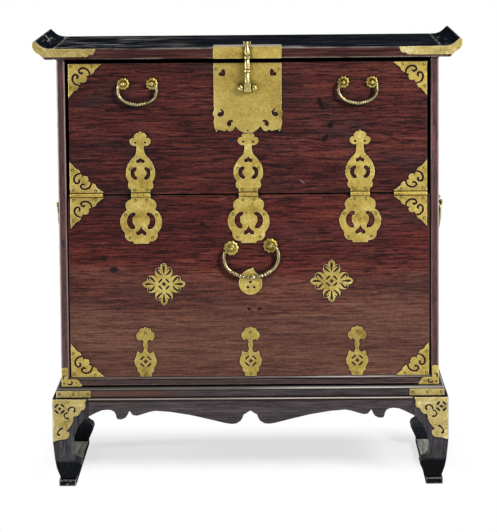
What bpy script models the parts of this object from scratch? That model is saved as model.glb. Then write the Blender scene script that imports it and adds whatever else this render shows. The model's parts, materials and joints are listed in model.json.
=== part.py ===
# Fall-front chest on a low stand. Metres, +Z up, front faces -Y, origin on the floor at the box centre.
import bmesh
import bpy
from math import cos, pi, radians, sin
from mathutils import Matrix, Vector
from mathutils.geometry import tessellate_polygon

MM = 0.001

# play between pieces that touch, and between a pin and its hole
GAP = 0.0003

# case
CASE_W = 0.757
CASE_D = 0.385
SIDE_T = 0.0165
SIDE_CHAMFER = 0.0025
PANEL_T = 0.020
PANEL_INSET = 0.0015
DOOR_PLAY = 0.0065
LOWER_PLAY = 0.002
BACK_T = 0.010
BOTTOM_T = 0.012
RAIL_T = 0.018
RAIL_H = 0.034
SILL_LIFT = 0.0033
SILL_FACE = 0.0100
SILL_GROOVE = 0.0015
SILL_BEAD = 0.0045
LOWER_H = 0.3666
SPLIT = 0.0028
DOOR_H = 0.2610
HEAD_GAP = 0.0086

# top
TOP_T = 0.0214
TOP_JOINT = 0.004
END_REACH = 0.042
END_RISE = 0.0165
OVERHANG_FRONT = 0.009
OVERHANG_BACK = 0.008

# stand
STAND_H = 0.2012
WAIST_T = 0.0205
WAIST_OUT = 0.0105
WAIST_ROUND = 0.004
SKIRT_OUT = 0.018
APRON_T = 0.018
LEG_TOP = 0.072
RUNNER_H = 0.013
RUNNER_W = 0.034
RUNNER_IN = 0.0105

# brass plate
PLATE_T = 0.0016
MOUNT_LEG = 0.0675
EDGE_RISE = 0.0625
MOUNT_EDGE = 0.0006
FOOT_INSET = 0.0035

# hinges
HINGE_LEFT_IN = 0.1643
HINGE_RIGHT_IN = 0.1565
BARREL_R = 0.0042
PIN_R = 0.0019
KNUCKLE_W = 0.0125
KNUCKLE_PLAY = 0.0004
BEAD_R = 0.0036
BEAD_LENGTH = 0.0655

# lock
LOCK_W = 0.1352
HASP_FLAP = 0.060
HASP_PIVOT_UP = 0.009
HASP_PIN_R = 0.0012
EAR_T = 0.0022
EAR_X = 0.0049
EYE_X = 0.0135
EYE_DROP = 0.0494
EYE_R = 0.0062
EYE_STEM_R = 0.0030
EYE_HOLE_R = 0.0018

# handles
DOOR_BAIL_IN = 0.1607
DOOR_BAIL_DROP = 0.0405
DOOR_BAIL_HALF = 0.0283
LOWER_BAIL_X = 0.0037
LOWER_BAIL_DROP = 0.1060
LOWER_BAIL_HALF = 0.0389
LOWER_BAIL_TILT = 3.3
SIDE_BAIL_DROP = 0.0365
ROSETTE_R = 0.0126
BIG_ROSETTE_R = 0.0154
ROSETTE_T = 0.0026
POST_R = 0.0036
POST_BALL_R = 0.0046
PINTLE_R = 0.0017
STANDOFF = 0.0125
PEACH_X = 0.0026
PEACH_DROP = 0.1790

# everted end, as shares of its reach, of the board thickness and of the rise above the board
END_PROFILE = [
    (0.00, 0.00, 0.0), (0.41, 0.00, 0.0), (0.46, 0.08, 0.0), (0.52, 0.27, 0.0), (0.70, 0.54, 0.0),
    (0.88, 0.77, 0.0), (0.985, 1.00, 0.15), (1.00, 1.00, 0.52), (0.965, 1.00, 0.83), (0.88, 1.00, 1.0),
    (0.78, 1.00, 0.78), (0.65, 1.00, 0.46), (0.49, 1.00, 0.19), (0.29, 1.00, 0.03), (0.00, 1.00, 0.0),
]

# apron's lower edge in mm: distance from the middle, drop from the top
APRON_REACH = 324.0
APRON_EDGE = [
    (0.0, 26.0), (3.0, 27.6), (8.0, 31.4), (13.4, 33.8), (14.8, 39.0), (19.4, 47.0), (28.0, 52.2),
    (37.0, 53.2), (49.0, 51.6), (80.0, 43.8), (120.0, 34.4), (160.0, 27.8), (190.0, 25.4), (203.0, 27.8),
    (216.0, 32.0), (227.0, 35.0), (235.4, 33.8), (242.2, 25.0), (245.0, 32.0), (249.6, 38.8), (257.0, 42.2),
    (264.4, 42.4), (268.0, 39.4), (269.6, 31.6), (272.6, 26.4), (279.0, 23.2), (287.0, 22.4), (298.0, 23.8),
    (310.0, 29.0), (324.0, 36.4),
]
PLAIN_EDGE = [
    (0.0, 25.0), (110.0, 25.5), (190.0, 27.5), (240.0, 30.0), (285.0, 33.0), (324.0, 36.4),
]

# leg in mm: distance in from the outer face, height
LEG_OUTER = [(0.0, 93.0), (3.6, 55.0), (6.6, 38.0), (11.0, 24.0), (14.5, 13.3)]
LEG_INNER = [
    (44.0, 13.3), (51.5, 30.0), (57.0, 43.0), (54.0, 50.0), (44.5, 55.6), (39.2, 66.0), (37.6, 82.0),
    (41.0, 98.6), (49.6, 120.6), (62.6, 139.0), (72.0, 144.0),
]

# half outlines in mm: half width, distance from the pin line
UPPER_LEAF = [
    (19.0, 10.9), (22.0, 11.9), (24.8, 16.0), (24.8, 21.0), (23.4, 26.4), (26.6, 31.0), (28.8, 38.1),
    (29.0, 45.9), (25.4, 59.9), (18.4, 70.9), (9.4, 81.7), (7.2, 91.1), (7.4, 98.6), (12.0, 97.8),
    (17.5, 100.4), (20.6, 106.0), (19.6, 111.0), (16.4, 113.7), (11.9, 113.8), (12.4, 118.0), (9.0, 122.6),
    (3.0, 124.8),
]
UPPER_TIP = 127.6
CENTRE_TIP = 121.2
LOWER_LEAF = [
    (18.0, 7.6), (23.2, 9.6), (28.6, 14.0), (30.4, 19.3), (30.2, 24.5), (28.4, 30.3), (34.4, 34.9),
    (39.2, 43.0), (41.4, 52.0), (40.8, 61.0), (37.8, 69.1), (32.6, 76.9), (31.8, 84.7), (27.4, 91.0),
    (15.8, 94.0), (14.8, 98.0),
]
LOWER_TIP = 98.0
UPPER_SPADE = [
    (0.0, 76.3), (1.4, 73.0), (3.6, 71.4), (7.2, 70.2), (8.6, 67.4), (7.4, 64.0), (4.4, 63.4), (0.0, 66.2),
]
LOWER_SPADE = [
    (0.0, 62.9), (2.0, 67.6), (5.6, 71.8), (9.8, 75.0), (10.4, 78.6), (8.0, 81.0), (4.6, 80.4), (0.0, 76.8),
]

# kidney slots of the leaves in mm: distance from the middle, from the pin line, half width
UPPER_KIDNEY = [(10.4, 52.9, 3.4), (14.6, 49.0, 3.8), (16.0, 42.9, 3.9), (13.6, 36.5, 3.8), (9.4, 32.9, 3.4)]
LOWER_KIDNEY = [(13.4, 38.0, 3.2), (19.6, 42.0, 4.4), (22.6, 49.5, 5.6), (21.6, 58.5, 5.6), (15.6, 66.0, 4.0)]
HEAD_HOLE = (9.8, 104.6)
HEAD_HOLE_R = 2.4

# lock plate in mm: distance from its middle, drop from the head of the fall front
LOCK_HALF = 69.4
LOCK_EDGE = [
    (69.4, 0.8), (69.0, 89.2), (68.4, 93.0), (70.6, 98.0), (70.4, 105.0), (68.2, 109.2), (69.6, 116.0),
    (68.6, 126.0), (66.4, 134.0), (56.2, 134.2), (46.4, 136.0), (43.4, 133.4), (39.2, 136.4), (31.8, 135.2),
    (27.6, 130.4), (25.8, 126.6), (21.0, 131.8), (12.4, 137.8), (5.0, 140.4),
]
SIDE_COMMA = [
    (60.8, 103.8, 2.0), (58.6, 103.3, 4.2), (55.5, 102.8, 4.6), (52.2, 101.2, 3.6), (50.8, 98.3, 2.4),
    (52.4, 94.8, 1.3), (55.8, 93.4, 0.8),
]
FOOT_COMMA = [
    (38.8, 125.6, 2.0), (38.5, 123.2, 4.2), (38.0, 120.3, 4.4), (36.4, 117.4, 3.2), (33.4, 116.1, 2.0),
    (29.9, 117.2, 0.9),
]
HEART = [
    (46.3, 26.1), (45.7, 17.4), (47.2, 14.0), (50.2, 13.4), (52.6, 15.8), (53.2, 18.4), (57.4, 20.2),
    (58.8, 22.6), (57.6, 25.2), (53.0, 26.2),
]

# corner mount in mm along its two edges, mirrored about its diagonal
MOUNT_HALF = [(0.0, 68.0), (3.6, 63.4), (8.3, 57.6), (12.6, 53.0), (17.4, 51.0), (20.6, 45.6)]
MOUNT_SCROLL = [
    (21.6, 43.0, 1.7), (15.0, 41.0, 1.8), (10.2, 36.6, 1.9), (8.2, 30.0, 2.0), (9.6, 24.0, 2.0),
    (13.6, 21.0, 2.0), (17.6, 22.8, 2.0), (19.0, 26.6, 2.4), (16.8, 29.6, 1.4),
]
MOUNT_TREFOIL = [(24.0, 38.6), (25.2, 35.4), (28.6, 37.6), (31.0, 36.6)]
MOUNT_SIZE = 68.0
MOUNT_POINT = 35.5

# leg mount in mm: distance in from the outer face, drop from the top
LEG_PLATE = [
    (0.8, 0.6), (68.6, 0.8), (66.2, 6.2), (65.2, 18.2), (62.4, 21.7), (57.8, 23.0), (55.2, 28.6),
    (50.2, 33.9), (44.0, 35.2), (41.8, 37.3), (41.4, 43.5), (38.8, 49.9), (34.8, 56.3), (31.0, 61.1),
    (27.2, 64.8), (32.4, 67.9), (33.2, 72.9), (30.2, 79.1), (21.8, 82.0), (10.4, 83.4), (5.8, 85.5),
    (2.4, 86.3), (0.8, 85.9),
]
COIN = (14.4, 19.4)
COIN_CORE = 3.4
COIN_SLOT = [(-9.6, -2.8, 0.9), (-8.4, -4.0, 1.7), (-4.0, -8.4, 1.7), (-2.8, -9.6, 0.9)]
LEG_SCROLLS = [
    [
        (31.8, 24.6, 1.2), (32.8, 19.7, 1.3), (37.2, 16.6, 1.4), (42.2, 17.0, 1.4), (45.4, 21.1, 1.5),
        (43.6, 25.9, 1.7),
    ],
    [(31.0, 27.7, 1.2), (25.8, 29.6, 1.3), (23.8, 34.6, 1.4), (26.2, 39.3, 1.5), (31.4, 39.1, 1.7)],
    [(20.4, 57.8, 0.8), (11.8, 64.8, 1.2), (9.8, 69.8, 1.4), (13.2, 73.7, 1.9)],
]

# peach plate in mm about its middle
PEACH_R = 23.4
PEACH_TIP = [
    (12.6, 20.0), (8.6, 23.4), (6.2, 27.0), (6.6, 31.6), (2.0, 29.8), (-4.6, 27.4), (-10.4, 24.4),
    (-15.4, 20.2),
]
PEACH_ARC = (50.0, -275.0, 20)
PEACH_HOLES = [(-0.2, 2.2), (-5.6, -8.2), (7.2, -8.2)]
PEACH_HOLE_R = 2.6

# bails in mm: distance out from the post's middle, drop, radius; the last point is the bail's middle
DOOR_BAIL = [
    (9.2, -3.2, 2.0), (9.5, -9.2, 2.2), (9.4, -16.6, 2.4), (6.2, -25.8, 2.7), (-2.2, -33.6, 2.9),
    (-13.0, -38.4, 3.1), (-28.3, -41.2, 3.3),
]
LOWER_BAIL = [
    (11.6, -3.6, 2.2), (14.4, -9.6, 2.4), (15.4, -19.0, 2.5), (13.8, -30.0, 2.8), (8.2, -40.2, 3.0),
    (-1.2, -48.4, 3.2), (-14.6, -55.8, 3.4), (-30.0, -59.4, 4.0), (-38.9, -59.8, 5.0),
]
PINTLE_IN = -6.0
PINTLE_OUT = 5.4

# hasp in mm: radius, drop from its pin
HASP_TURNING = [
    (1.8, -4.0), (3.6, -2.4), (4.3, 0.0), (3.6, 2.4), (2.9, 5.0), (3.3, 8.6), (5.0, 13.6), (5.6, 18.2),
    (5.0, 22.8), (4.4, 25.0), (5.8, 27.0), (5.8, 30.0), (5.1, 31.6), (5.3, 51.0), (6.0, 52.4), (6.0, 57.0),
    (4.7, 58.4), (4.5, 81.0),
]
HASP_BLOCK = (13.6, 11.0, 80.0, 95.6)
HASP_CLEAR = 0.0006
HASP_WIDEST = 0.0060

# sides of round pieces, and how far the hollows between a rosette's petals are drawn in
ROUND = 12
TUBE_SIDES = 8
ROSETTE_SIDES = 16
ROSETTE_LOBE = 0.92


def join_edges(points, mirrored):
    return points + [(-a, b) for a, b in reversed(mirrored)]


def circle(a, b, r, sides=ROUND):
    return [(a + r * cos(2 * pi * i / sides), b + r * sin(2 * pi * i / sides)) for i in range(sides)]


def stroke(line):
    """The two sides of a line of (a, b, half width)."""
    left, right = [], []
    for i, (a, b, w) in enumerate(line):
        a0, b0, _ = line[max(i - 1, 0)]
        a1, b1, _ = line[min(i + 1, len(line) - 1)]
        d = Vector((a1 - a0, b1 - b0)).normalized()
        left.append((a - d.y * w, b + d.x * w))
        right.append((a + d.y * w, b - d.x * w))
    return left, right


def slot(line):
    left, right = stroke(line)
    (a0, b0, w0), (a1, b1, _) = line[0], line[1]
    d0 = Vector((a0 - a1, b0 - b1)).normalized() * w0
    (a2, b2, w2), (a3, b3, _) = line[-1], line[-2]
    d2 = Vector((a2 - a3, b2 - b3)).normalized() * w2
    return left + [(a2 + d2.x, b2 + d2.y)] + right[::-1] + [(a0 + d0.x, b0 + d0.y)]


def flip(loop):
    return [(-a, b) for a, b in loop]


def scaled(loop):
    return [(a * MM, b * MM) for a, b in loop]


def along_x(a, b, t):
    return (t, a, b)


def along_y(a, b, t):
    return (a, t, b)


def along_z(a, b, t):
    return (a, b, t)


def prism(outline, lo, hi, put, holes=()):
    loops = [outline, *holes]
    flat = [p for loop in loops for p in loop]
    n = len(flat)
    verts = [put(a, b, lo) for a, b in flat] + [put(a, b, hi) for a, b in flat]
    if holes:
        caps = tessellate_polygon([[Vector((a, b, 0)) for a, b in loop] for loop in loops])
    else:
        caps = [tuple(range(n))]
    faces = [tuple(c) for c in caps] + [tuple(i + n for i in reversed(c)) for c in caps]
    start = 0
    for loop in loops:
        m = len(loop)
        for i in range(m):
            p, q = start + i, start + (i + 1) % m
            faces.append((p, q, q + n, p + n))
        start += m
    return verts, faces


def box(x0, x1, y0, y1, z0, z1):
    return prism([(x0, y0), (x1, y0), (x1, y1), (x0, y1)], z0, z1, along_z)


def lathe(profile, sides, lobed=()):
    """Turns (radius, height) about Z. Rings listed in lobed have every second corner drawn in."""
    verts, faces = [], []
    for k, (r, h) in enumerate(profile):
        for i in range(sides):
            s = r * (ROSETTE_LOBE if k in lobed and i % 2 else 1.0)
            verts.append((s * cos(2 * pi * i / sides), s * sin(2 * pi * i / sides), h))
    for k in range(len(profile) - 1):
        for i in range(sides):
            p, q = k * sides + i, k * sides + (i + 1) % sides
            faces.append((p, q, q + sides, p + sides))
    last = (len(profile) - 1) * sides
    faces.append(tuple(reversed(range(sides))))
    faces.append(tuple(range(last, last + sides)))
    return verts, faces


def tube(path):
    """A round bar along a line of (x, z, radius)."""
    verts, faces = [], []
    for i, (x, z, r) in enumerate(path):
        x0, z0, _ = path[max(i - 1, 0)]
        x1, z1, _ = path[min(i + 1, len(path) - 1)]
        d = Vector((x1 - x0, z1 - z0)).normalized()
        for k in range(TUBE_SIDES):
            c, s = r * cos(2 * pi * k / TUBE_SIDES), r * sin(2 * pi * k / TUBE_SIDES)
            verts.append((x - d.y * c, s, z + d.x * c))
    for i in range(len(path) - 1):
        for k in range(TUBE_SIDES):
            p, q = i * TUBE_SIDES + k, i * TUBE_SIDES + (k + 1) % TUBE_SIDES
            faces.append((p, q, q + TUBE_SIDES, p + TUBE_SIDES))
    last = (len(path) - 1) * TUBE_SIDES
    faces.append(tuple(range(TUBE_SIDES)))
    faces.append(tuple(range(last, last + TUBE_SIDES)))
    return verts, faces


def smooth(line, steps):
    """Catmull-Rom points through a line of tuples."""
    out = []
    for i in range(len(line) - 1):
        p0, p1, p2, p3 = (line[min(max(i + k, 0), len(line) - 1)] for k in (-1, 0, 1, 2))
        for s in range(steps):
            t = s / steps
            out.append(tuple(
                b + t * (c - a) / 2
                + t ** 2 * (a - 2.5 * b + 2 * c - d / 2)
                + t ** 3 * (3 * b - a - 3 * c + d) / 2
                for a, b, c, d in zip(p0, p1, p2, p3)
            ))
    return out + [line[-1]]


def moved(shape, matrix):
    verts, faces = shape
    return [tuple(matrix @ Vector(v)) for v in verts], faces


def fill(bm, shape):
    verts, faces = shape
    made = [bm.verts.new(v) for v in verts]
    for face in faces:
        bm.faces.new([made[i] for i in face])
    bmesh.ops.recalc_face_normals(bm, faces=bm.faces)


def add_object(name, shape):
    bm = bmesh.new()
    fill(bm, shape)
    mesh = bpy.data.meshes.new(name)
    bm.to_mesh(mesh)
    bm.free()
    obj = bpy.data.objects.new(name, mesh)
    bpy.context.scene.collection.objects.link(obj)
    return obj


def combine(shape, tools, operation):
    base = add_object("base", shape)
    cutters = []
    for tool in tools:
        cutter = add_object("tool", tool)
        cutter.hide_render = True
        cutter.display_type = "WIRE"
        mod = base.modifiers.new("tool", "BOOLEAN")
        mod.operation = operation
        mod.solver = "EXACT"
        mod.object = cutter
        cutters.append(cutter)
    deps = bpy.context.evaluated_depsgraph_get()
    mesh = bpy.data.meshes.new_from_object(base.evaluated_get(deps))
    result = [tuple(v.co) for v in mesh.vertices], [tuple(p.vertices) for p in mesh.polygons]
    for obj in [base, *cutters]:
        bpy.data.objects.remove(obj)
    return result


def add_material(name, colour, metallic, roughness):
    mat = bpy.data.materials.new(name)
    mat.use_nodes = True
    mat.diffuse_color = (*colour, 1)
    shader = mat.node_tree.nodes["Principled BSDF"]
    shader.inputs["Base Color"].default_value = (*colour, 1)
    shader.inputs["Metallic"].default_value = metallic
    shader.inputs["Roughness"].default_value = roughness
    return mat


def node(name, shape, mat, pivot=(0, 0, 0)):
    obj = add_object(name, moved(shape, Matrix.Translation(-Vector(pivot))))
    obj.location = pivot
    obj.data.materials.append(mat)
    return obj


for old in list(bpy.data.objects):
    bpy.data.objects.remove(old)

wood = add_material("lacquered_wood", (0.10, 0.035, 0.025), 0.0, 0.35)
black = add_material("black_lacquer", (0.012, 0.011, 0.012), 0.0, 0.3)
dark = add_material("stand_wood", (0.06, 0.04, 0.035), 0.0, 0.4)
brass = add_material("brass", (0.48, 0.37, 0.12), 1.0, 0.35)

# widths and heights
half_w = CASE_W / 2
inner = half_w - SIDE_T
door_half = inner - DOOR_PLAY
z_case = STAND_H + GAP
z_sill = STAND_H + SILL_LIFT
z_bead = z_sill + SILL_FACE + SILL_GROOVE
z_lower = z_bead + SILL_BEAD + GAP
z_split = z_lower + LOWER_H
z_pin = z_split + SPLIT / 2
z_door = z_split + SPLIT
z_head = z_door + DOOR_H
z_under = z_head + HEAD_GAP
z_top = z_under + TOP_T
z_waist = STAND_H - WAIST_T
z_skirt = z_waist - GAP

# depths: the hasp reaches furthest forward and the stand furthest back, and the box is centred between them
hasp_out = OVERHANG_FRONT + GAP + PLATE_T + HASP_CLEAR + HASP_WIDEST
front = -CASE_D / 2 + (hasp_out + HASP_WIDEST - SKIRT_OUT) / 2
back = front + CASE_D
face = front + PANEL_INSET
plate_back = face - GAP
plate_front = plate_back - PLATE_T
pin_y = face - GAP - BARREL_R
skirt_front = front - SKIRT_OUT
skirt_back = back + SKIRT_OUT
skirt_half = half_w + SKIRT_OUT

# top
top_front, top_back = front - OVERHANG_FRONT, back + OVERHANG_BACK
top_half = half_w + TOP_JOINT
node("top_board", box(-top_half, top_half, top_front, top_back, z_under, z_top), black)
for side, sign in (("left", -1), ("right", 1)):
    profile = [
        (sign * (top_half + GAP + u * END_REACH), z_under + v * TOP_T + w * END_RISE)
        for u, v, w in END_PROFILE
    ]
    node(f"top_end_{side}", prism(profile, top_front, top_back, along_y), black)

# case boards
for side, sign in (("left", -1), ("right", 1)):
    plan = [
        (sign * inner, back), (sign * half_w, back), (sign * half_w, front + SIDE_CHAMFER),
        (sign * (half_w - SIDE_CHAMFER), front), (sign * (inner + SIDE_CHAMFER), front),
        (sign * inner, front + SIDE_CHAMFER),
    ]
    node(f"side_board_{side}", prism(plan, z_case, z_under - GAP, along_z), wood)
fit = inner - GAP
node("back_panel", box(-fit, fit, back - BACK_T, back, z_case, z_under - GAP), wood)
step = front + SILL_GROOVE * 3
bead_y = front + SILL_GROOVE / 3
sill = [
    (front, z_sill), (front, z_sill + SILL_FACE), (step, z_sill + SILL_FACE), (step, z_bead),
    (bead_y, z_bead), (bead_y, z_bead + SILL_BEAD), (face + PANEL_T, z_bead + SILL_BEAD),
    (face + PANEL_T, z_sill),
]
node("sill", prism(sill, -fit, fit, along_x), wood)
panel_back = face + PANEL_T
node("bottom_board", box(-fit, fit, panel_back + GAP, back - BACK_T - GAP, z_sill, z_sill + BOTTOM_T), wood)
lower_half = inner - LOWER_PLAY
node("lower_front", box(-lower_half, lower_half, face, panel_back, z_lower, z_split), wood)
rail_front = panel_back + GAP
rail_top = z_under - GAP
node("stop_rail", box(-fit, fit, rail_front, rail_front + RAIL_T, rail_top - RAIL_H, rail_top), wood)

# stand
waist_front, waist_back, waist_half = front - WAIST_OUT, back + WAIST_OUT, half_w + WAIST_OUT
waist = combine(
    prism(
        [
            (waist_front, z_waist), (waist_front, STAND_H - WAIST_ROUND),
            (waist_front + WAIST_ROUND, STAND_H), (waist_back - WAIST_ROUND, STAND_H),
            (waist_back, STAND_H - WAIST_ROUND), (waist_back, z_waist),
        ],
        -waist_half - WAIST_OUT, waist_half + WAIST_OUT, along_x,
    ),
    [
        prism(
            [
                (-waist_half, z_waist - WAIST_OUT), (-waist_half, STAND_H - WAIST_ROUND),
                (-waist_half + WAIST_ROUND * 2, STAND_H + WAIST_ROUND),
                (waist_half - WAIST_ROUND * 2, STAND_H + WAIST_ROUND), (waist_half, STAND_H - WAIST_ROUND),
                (waist_half, z_waist - WAIST_OUT),
            ],
            waist_front - WAIST_OUT, waist_back + WAIST_OUT, along_y,
        )
    ],
    "INTERSECT",
)
node("waist_board", waist, dark)


def apron(edge, middle, half, lo, hi, put):
    k = half / APRON_REACH
    right = [(middle + k * a, z_skirt - b * MM) for a, b in edge]
    left = [(2 * middle - a, b) for a, b in right[:0:-1]]
    return prism([(middle + half, z_skirt), (middle - half, z_skirt), *left, *right], lo, hi, put)


apron_half = skirt_half - LEG_TOP - GAP
skirt_mid = (skirt_front + skirt_back) / 2
side_half = (skirt_back - skirt_front) / 2 - LEG_TOP - GAP
node("apron_front", apron(APRON_EDGE, 0, apron_half, skirt_front, skirt_front + APRON_T, along_y), dark)
node("apron_back", apron(PLAIN_EDGE, 0, apron_half, skirt_back - APRON_T, skirt_back, along_y), dark)
for side, sign in (("left", -1), ("right", 1)):
    lo, hi = sorted((sign * skirt_half, sign * (skirt_half - APRON_T)))
    node(f"apron_{side}", apron(PLAIN_EDGE, skirt_mid, side_half, lo, hi, along_x), dark)


def leg_profile(outer_face, sign):
    low = RUNNER_H + GAP
    lift = low - LEG_OUTER[-1][1] * MM
    line = [(0.0, z_skirt), *((u * MM, v * MM + lift) for u, v in [*LEG_OUTER, *LEG_INNER[:-1]])]
    line += [(LEG_TOP, LEG_INNER[-1][1] * MM + lift), (LEG_TOP, z_skirt)]
    return [(outer_face + sign * u, v) for u, v in line]


for side, sign in (("left", -1), ("right", 1)):
    for end, outer_y, inward in (("front", skirt_front, 1), ("back", skirt_back, -1)):
        x_lo, x_hi = sorted((sign * skirt_half + sign * GAP, sign * (skirt_half - LEG_TOP - APRON_T)))
        y_lo, y_hi = sorted((outer_y - inward * APRON_T, outer_y + inward * (LEG_TOP + APRON_T)))
        from_front = prism(leg_profile(sign * skirt_half, -sign), y_lo, y_hi, along_y)
        from_side = prism(leg_profile(outer_y, inward), x_lo - APRON_T, x_hi + APRON_T, along_x)
        node(f"leg_{end}_{side}", combine(from_front, [from_side], "INTERSECT"), dark)
    x_lo, x_hi = sorted((sign * (skirt_half - RUNNER_IN), sign * (skirt_half - RUNNER_IN - RUNNER_W)))
    runner = box(x_lo, x_hi, skirt_front + RUNNER_IN, skirt_back - RUNNER_IN, 0, RUNNER_H)
    node(f"runner_{side}", runner, black)

# fall front
hinge = (0, pin_y, z_pin)
node("fall_front_panel", box(-door_half, door_half, face, panel_back, z_door, z_head), wood, hinge)


# hinge leaves: a pierced plate with its knuckles; the lower leaf carries the pin
def leaf_plate(half, tip, spade, kidney, holes):
    start = (BARREL_R + KNUCKLE_PLAY) / MM
    right = [(half[0][0], start), *half]
    end = [] if half[-1][1] == tip else [(0.0, tip)]
    outline = right + end + flip(right)[::-1]
    cut = slot(kidney)
    loops = [cut, flip(cut), spade + flip(spade[1:-1])[::-1], *holes]
    return outline, loops


def knuckle(x0, x1, up, reach):
    """A barrel on the pin line with a strap into the leaf plate."""
    inset = PLATE_T / 8
    strap_back, strap_front = plate_back - inset, plate_front + inset
    barrel = prism(circle(pin_y, z_pin, BARREL_R), x0, x1, along_x)
    lo, hi = sorted((z_pin, z_pin + up * reach))
    return barrel, box(x0, x1, strap_front, strap_back, lo, hi)


def leaf(outline, loops, up):
    def put(a, b, t):
        return (a, t, z_pin + up * b)
    return prism(scaled(outline), plate_front, plate_back, put, [scaled(h) for h in loops])


strap = (BARREL_R + KNUCKLE_PLAY) * 1.6
mid_half = KNUCKLE_W / 2
outer_half = mid_half + KNUCKLE_PLAY + KNUCKLE_W
heads = [circle(s * HEAD_HOLE[0], HEAD_HOLE[1], HEAD_HOLE_R, ROUND // 2) for s in (1, -1)]
pin_hole = prism(circle(pin_y, z_pin, PIN_R + GAP), -KNUCKLE_W, KNUCKLE_W, along_x)


def upper_leaf(tip):
    half = [(a, min(b, tip)) for a, b in UPPER_LEAF]
    plate = leaf(*leaf_plate(half, tip, UPPER_SPADE, UPPER_KIDNEY, heads), 1)
    return combine(combine(plate, knuckle(-mid_half, mid_half, 1, strap), "UNION"), [pin_hole], "DIFFERENCE")


outline, loops = leaf_plate(LOWER_LEAF, LOWER_TIP, LOWER_SPADE, LOWER_KIDNEY, [])
pin = prism(circle(pin_y, z_pin, PIN_R), -mid_half - KNUCKLE_W / 2, mid_half + KNUCKLE_W / 2, along_x)
outer_knuckles = [
    *knuckle(mid_half + KNUCKLE_PLAY, outer_half, -1, strap),
    *knuckle(-outer_half, -mid_half - KNUCKLE_PLAY, -1, strap),
]
lower = combine(leaf(outline, loops, -1), [*outer_knuckles, pin], "UNION")
hinge_left, hinge_right = HINGE_LEFT_IN - half_w, half_w - HINGE_RIGHT_IN
hinges = (("left", hinge_left, UPPER_TIP), ("centre", 0.0, CENTRE_TIP), ("right", hinge_right, UPPER_TIP))
for place, x, tip in hinges:
    shift = Matrix.Translation((x, 0, 0))
    node(f"hinge_upper_{place}", moved(upper_leaf(tip), shift), brass, hinge)
    node(f"hinge_lower_{place}", moved(lower, shift), brass, (x, pin_y, z_pin))


# corner and edge mounts: one pierced triangle, turned to each corner
def mount(x, z, right, up, rise=MOUNT_LEG):
    sides = stroke(MOUNT_SCROLL)
    half = MOUNT_HALF + sides[1] + sides[0][::-1] + MOUNT_TREFOIL
    whole = [(0.0, 0.0), *half, (MOUNT_POINT, MOUNT_POINT), *((b, a) for a, b in reversed(half))]
    wide, tall = right * MOUNT_LEG / MOUNT_SIZE, up * rise / MOUNT_SIZE

    def put(a, b, t):
        return (x + wide * a, t, z + tall * b)
    return prism(whole, plate_front, plate_back, put)


door_edge = door_half - MOUNT_EDGE
foot_edge = inner - FOOT_INSET
clear = BARREL_R + KNUCKLE_PLAY
for side, sign in (("left", -1), ("right", 1)):
    node(f"corner_mount_{side}", mount(sign * door_edge, z_head - MOUNT_EDGE, -sign, -1), brass, hinge)
    bead_x = sorted((sign * door_edge, sign * (door_edge - BEAD_LENGTH)))
    inset = PLATE_T / 8
    bead = [
        prism(circle(pin_y, z_pin, BEAD_R), *bead_x, along_x),
        box(*bead_x, plate_front + inset, plate_back - inset, z_pin, z_pin + clear + strap - BARREL_R),
    ]
    edge_plate = combine(mount(sign * door_edge, z_pin + clear, -sign, 1, EDGE_RISE), bead, "UNION")
    node(f"edge_mount_upper_{side}", edge_plate, brass, hinge)
    edge_plate = mount(sign * door_edge, z_pin - clear, -sign, -1, EDGE_RISE)
    node(f"edge_mount_lower_{side}", edge_plate, brass)
    node(f"foot_mount_{side}", mount(sign * foot_edge, z_lower + MOUNT_EDGE, -sign, 1), brass)

# lock plate and its two eyes
k_lock = LOCK_W / 2 / LOCK_HALF
lock_right = [(a, -b) for a, b in LOCK_EDGE]
commas = [[(a, -b) for a, b in slot(line)] for line in (SIDE_COMMA, FOOT_COMMA)]
heart = [(a, -b) for a, b in HEART]
lock_loops = [loop for hole in (*commas, heart) for loop in (hole, flip(hole))]


def lock_put(a, b, t):
    return (k_lock * a, t, z_head + b * MM)


lock = prism(join_edges(lock_right, lock_right), plate_front, plate_back, lock_put, lock_loops)
node("lock_plate", lock, brass, hinge)

hasp_y = front - hasp_out
hasp_z = z_top + HASP_PIVOT_UP
outward = Matrix.Rotation(pi / 2, 4, "X")
eye_stem = plate_front - GAP - hasp_y
eye_profile = [
    (EYE_STEM_R * 1.4, -eye_stem), (EYE_STEM_R * 1.4, -eye_stem * 0.85), (EYE_STEM_R, -eye_stem * 0.75),
    (EYE_STEM_R, -EYE_R * 0.8), (EYE_R * 0.9, -EYE_R * 0.42), (EYE_R, 0), (EYE_R * 0.8, EYE_R * 0.6),
    (EYE_R * 0.35, EYE_R * 0.92),
]
rod_hole = prism(circle(0, 0, EYE_HOLE_R), -EYE_R * 2, EYE_R * 2, along_x)
eye = combine(lathe(eye_profile, ROUND), [rod_hole], "DIFFERENCE")
for side, sign in (("left", -1), ("right", 1)):
    place = Matrix.Translation((sign * EYE_X, hasp_y, z_head - EYE_DROP)) @ outward
    node(f"eye_staple_{side}", moved(eye, place), brass, hinge)

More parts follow.
